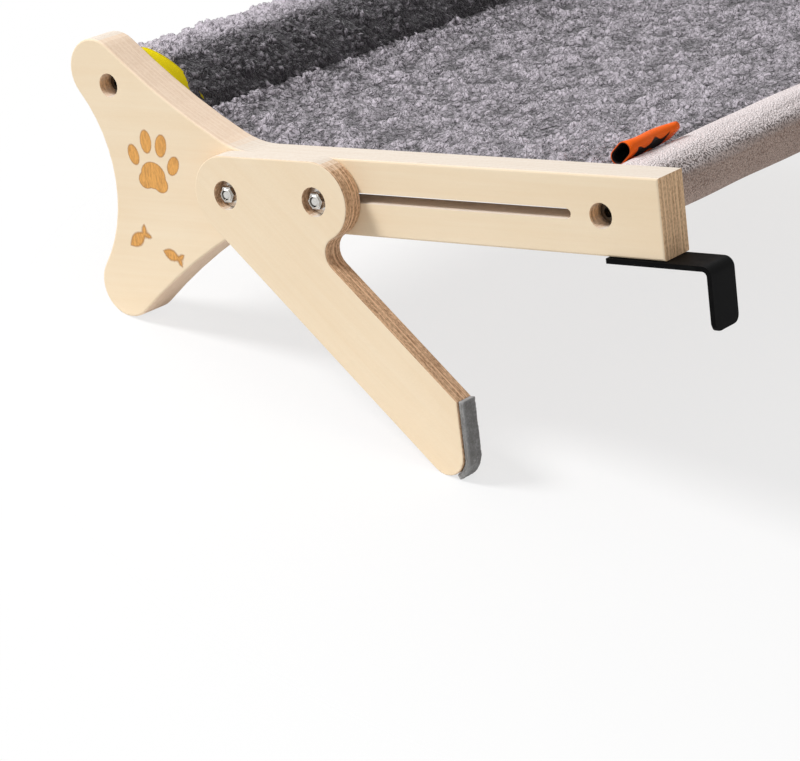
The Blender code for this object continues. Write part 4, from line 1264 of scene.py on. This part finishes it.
near_bore = len(vertices)
far_bore = near_bore + SLEEVE_ROUND
for y in (sleeve_low.y, sleeve_high.y):
    for j in range(SLEEVE_ROUND):
        place = on_arc(rear_rail, SLEEVE_BORE, math.tau * j / SLEEVE_ROUND)
        vertices.append((place.x, y, place.y))
far_end = stations * SLEEVE_ROUND
for j in range(SLEEVE_ROUND):
    k = (j + 1) % SLEEVE_ROUND
    faces.append((j, k, near_bore + k, near_bore + j))
    faces.append((far_end + j, far_end + k, far_bore + k, far_bore + j))
    faces.append((near_bore + j, near_bore + k, far_bore + k, far_bore + j))
plush_sleeve = mesh_piece("plush_sleeve", vertices, faces, plush_finish)
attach(plush_sleeve, "frame")
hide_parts("rear_sleeve")


# Edge tape
# Yellow woven tape folded over the raw side edges of roll and seat, which presses the padding in. A
# thicker lip with a line of stitches runs along its inner edge.
TAPE_TOP = -0.0005
TAPE_STEP = 0.0016
TAPE_LIP = 0.0005
TAPE_LIP_RISES = 0.0004
TAPE_LIP_FLAT = 0.0010
TAPE_LIP_ENDS = 0.0016
TAPE_TUCK = 0.0001
TAPE_SHOULDER = 0.0016
TAPE_CORNER = (0.0004, 0.0005)
TAPE_SIDE_FROM = 0.0014
TAPE_SIDE_TO = 0.0030
TAPE_PRESSED_BEFORE = 0.003
TAPE_PRESSED_OVER = 0.008
TAPE_PRESSED_NORMAL = 0.3
TAPE_DRAWN_IN = 0.0009
TAPE_PRESSED_DOWN = 0.0012
TAPE_SEAM_DROP = 0.001
TAPE_YELLOW = (0.82, 0.68, 0.0, 1)
TAPE_SHADE = (0.50, 0.39, 0.0, 1)
TAPE_RIBS = 300.0
TAPE_RIB_WAVER = 1.5
TAPE_RIB_TONE = 0.35
TAPE_FUZZ_SCALE = 900.0
TAPE_FUZZ_TONE = 0.65
# The weave's tone runs from TAPE_SHADE to TAPE_YELLOW, and the side facing the rear is pushed darker by
# painted shade
TAPE_REAR_SHADE_FROM, TAPE_REAR_SHADE_TO = 0.15, 0.90
TAPE_REAR_SHADE_TONE = 0.5
TAPE_SHADE_TO, TAPE_YELLOW_FROM = 0.2, 0.7
TAPE_BUMP = 0.5
TAPE_BUMP_DEPTH = 0.0004


def yellow_binding_tape():
    """Ribbed, slightly fuzzy weave, with painted shade on the side that faces the rear."""
    made, tree, shader = new_material("yellow_binding_tape", roughness=0.8, Specular_IOR_Level=0.15)
    places = add_node(tree, "ShaderNodeTexCoord")
    place = places.outputs["Object"]
    ribs = add_node(tree, "ShaderNodeTexWave", wave_type="BANDS", bands_direction="Y")
    feed(tree, ribs.inputs["Vector"], place)
    ribs.inputs["Scale"].default_value = TAPE_RIBS
    ribs.inputs["Distortion"].default_value = TAPE_RIB_WAVER
    fuzz = noise_of(tree, place, TAPE_FUZZ_SCALE, 3.0, 0.7)
    level = calc(tree, "MULTIPLY", ribs.outputs["Fac"], TAPE_RIB_TONE)
    level = calc(tree, "ADD", level, calc(tree, "MULTIPLY", fuzz, TAPE_FUZZ_TONE))
    rearward = parts_of(tree, places.outputs["Normal"])["X"]
    rear_shaded = ramp(tree, rearward, TAPE_REAR_SHADE_FROM, TAPE_REAR_SHADE_TO, 0.0, TAPE_REAR_SHADE_TONE)
    level = calc(tree, "SUBTRACT", level, rear_shaded)
    bright = ramp(tree, level, TAPE_SHADE_TO, TAPE_YELLOW_FROM)
    feed(tree, shader.inputs["Base Color"], blend(tree, bright, TAPE_SHADE, TAPE_YELLOW))
    bumped(tree, shader, level, TAPE_BUMP, TAPE_BUMP_DEPTH)
    return made


def tape_outline():
    """Side view of the cover at its bound edge, dipped under the pile at the rear seam."""
    top, rest = seat_section(seat_half)
    for point in top:
        loose = smooth((seat_rear.x - point.x) / (2 * SEAM_PULL))
        point.y -= (SEAM_DROP + TAPE_SEAM_DROP) * (1 - loose)
    for point in rest:
        point.y = min(point.y, top[-1].y)
    outline = list(reversed(front)) + back[1:] + top[1:] + rest + [under]
    return evenly(outline + outline[:1], TAPE_STEP)[:-1]


def tape_section(point, out, sign):
    """Flat outside with a thicker stitched lip. Under the seat's pile it is drawn in and pressed down."""
    behind = smooth((point.x - valley.x + TAPE_PRESSED_BEFORE) / TAPE_PRESSED_OVER)
    pressed = behind * smooth(out.y / TAPE_PRESSED_NORMAL)
    outer = sign * (cover_half - TAPE_DRAWN_IN * pressed)
    top = TAPE_TOP - TAPE_PRESSED_DOWN * pressed
    lip = sign * (cover_half - TAPE_WIDTH)
    wall = outer - sign * TAPE_THICKNESS
    return [
        (top - TAPE_THICKNESS, lip),
        (top - TAPE_TUCK, lip),
        (top + TAPE_LIP, lip + sign * TAPE_LIP_RISES),
        (top + TAPE_LIP, lip + sign * TAPE_LIP_FLAT),
        (top, lip + sign * TAPE_LIP_ENDS),
        (top, outer - sign * TAPE_SHOULDER),
        (top - TAPE_CORNER[0], outer - sign * TAPE_CORNER[1]),
        (top - TAPE_SIDE_FROM, outer),
        (top - TAPE_SIDE_TO, outer),
        (top - TAPE_SIDE_TO, wall),
        (top - TAPE_THICKNESS, wall),
    ]


tape_finish = yellow_binding_tape()
outline = tape_outline()
normals = outward_normals(outline, closed=True)
for side, sign in (("near", -1), ("far", 1)):
    sections = [tape_section(point, out, sign) for point, out in zip(outline, normals)]
    tape = swept_strip(f"{side}_side_tape", outline, sections, tape_finish, closed=True)
    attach(tape, "frame")
    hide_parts(f"{side}_edge_tape")


# Woven tag
# Orange satin ribbon, black inside, folded into a loop that is caught in the rear seam. It is open at
# the near end and flatter at the other, with a plain black wave printed along its lower front.
TAG_RADIUS = 0.0034
TAG_OPEN = 1.20
TAG_FLAT = 0.72
TAG_WALL = 0.0007
TAG_STATIONS = 16
TAG_TURNS = 12
TAG_CURL_OUT = 0.0006
TAG_CURL_WAVES = 2.3
TAG_ORANGE = (1.0, 0.16, 0.012, 1)
TAG_DEEP = (0.90, 0.09, 0.008, 1)
TAG_BLACK = (0.012, 0.010, 0.010, 1)
TAG_THREADS = 900.0
TAG_THREAD_TONE = 0.45
TAG_BUMP = 0.25
TAG_BUMP_DEPTH = 0.0001
FRONT_SLOPE = Vector((0.72, 0.69))
WAVE_LENGTH = 0.01496
WAVE_HEIGHT = 0.0012
PRINT_FRONT = (0.1, 0.4)
PRINT_LOW = (0.0002, 0.0008)
PRINT_HIGH = (0.0078, 0.0072)
PRINT_NEAR = (0.0055, 0.0065)
PRINT_FAR = (0.036, 0.034)

tag_low, tag_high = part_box("woven_tag")
tag_start = Vector((tag_low.x + TAG_RADIUS, tag_low.z + TAG_RADIUS))
tag_end = Vector((tag_high.x - TAG_RADIUS, tag_high.z - TAG_RADIUS))


def wave_print(tree, place, normal):
    """Mask of the black wave: up the ribbon's front between two limits, and along it short of its ends."""
    flat_x, flat_y, flat_z = parts_of(tree, place)
    forward = calc(tree, "MULTIPLY", flat_x, FRONT_SLOPE.x)
    upward = calc(tree, "MULTIPLY", flat_z, FRONT_SLOPE.y)
    climb = calc(tree, "ADD", forward, upward)
    wave = calc(tree, "SINE", calc(tree, "MULTIPLY", flat_y, math.tau / WAVE_LENGTH))
    climb = calc(tree, "ADD", climb, calc(tree, "MULTIPLY", wave, WAVE_HEIGHT))
    climb = calc(tree, "SUBTRACT", climb, FRONT_SLOPE.dot(tag_start))
    span = calc(tree, "SUBTRACT", flat_y, tag_low.y)
    mask = ramp(tree, parts_of(tree, normal)["X"], *PRINT_FRONT)
    for value, limits in ((climb, PRINT_HIGH), (climb, PRINT_LOW), (span, PRINT_NEAR), (span, PRINT_FAR)):
        mask = calc(tree, "MULTIPLY", mask, ramp(tree, value, *limits))
    return mask


def orange_satin_ribbon():
    made, tree, shader = new_material("orange_satin_ribbon", roughness=0.5, Specular_IOR_Level=0.08)
    places = add_node(tree, "ShaderNodeTexCoord")
    place = places.outputs["Object"]
    threads = add_node(tree, "ShaderNodeTexWave", wave_type="BANDS", bands_direction="DIAGONAL")
    feed(tree, threads.inputs["Vector"], place)
    threads.inputs["Scale"].default_value = TAG_THREADS
    thread = threads.outputs["Fac"]
    satin = blend(tree, calc(tree, "MULTIPLY", thread, TAG_THREAD_TONE), TAG_ORANGE, TAG_DEEP)
    lining = add_node(tree, "ShaderNodeAttribute", attribute_name="lining").outputs["Fac"]
    black = calc(tree, "MAXIMUM", lining, wave_print(tree, place, places.outputs["Normal"]))
    feed(tree, shader.inputs["Base Color"], blend(tree, black, satin, TAG_BLACK))
    bumped(tree, shader, thread, TAG_BUMP, TAG_BUMP_DEPTH)
    return made


def loop_line(radius, inset):
    """Side view of the loop: a flatter one reaches as far, and inset gives the inner face."""
    run = (tag_end - tag_start).normalized()
    lean = math.atan2(run.y, run.x)
    quarter = math.pi / 2
    line = []
    for middle, turn in ((tag_end + run * (TAG_RADIUS - radius), -quarter), (tag_start, quarter)):
        for i in range(TAG_TURNS + 1):
            line.append(on_arc(middle, radius - inset, lean + turn + math.pi * i / TAG_TURNS))
    return line


vertices, faces = [], []
around = len(loop_line(TAG_RADIUS, 0.0))
for i in range(TAG_STATIONS + 1):
    share = i / TAG_STATIONS
    y = tag_low.y + (tag_high.y - tag_low.y) * share
    curl_out = TAG_CURL_OUT * math.sin(math.pi * share * TAG_CURL_WAVES)
    radius = TAG_RADIUS * (TAG_OPEN + (TAG_FLAT - TAG_OPEN) * share)
    for inset in (0.0, TAG_WALL):
        for p in loop_line(radius, inset):
            lift = (p.y - tag_start.y) / (tag_end.y - tag_start.y)
            vertices.append((p.x + curl_out * lift, y, p.y))
for i in range(TAG_STATIONS):
    a, b = i * 2 * around, (i + 1) * 2 * around
    for j in range(around):
        k = (j + 1) % around
        faces.append((a + j, a + k, b + k, b + j))
        faces.append((a + around + j, a + around + k, b + around + k, b + around + j))
for a in (0, TAG_STATIONS * 2 * around):
    for j in range(around):
        k = (j + 1) % around
        faces.append((a + j, a + k, a + around + k, a + around + j))
ribbon = mesh_piece("ribbon_tag", vertices, faces, orange_satin_ribbon())
lining = ribbon.data.attributes.new("lining", "FLOAT", "POINT")
for i in range(len(ribbon.data.vertices)):
    lining.data[i].value = 1.0 if i % (2 * around) >= around else 0.0
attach(ribbon, "frame")
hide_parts("woven_tag")

low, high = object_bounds()
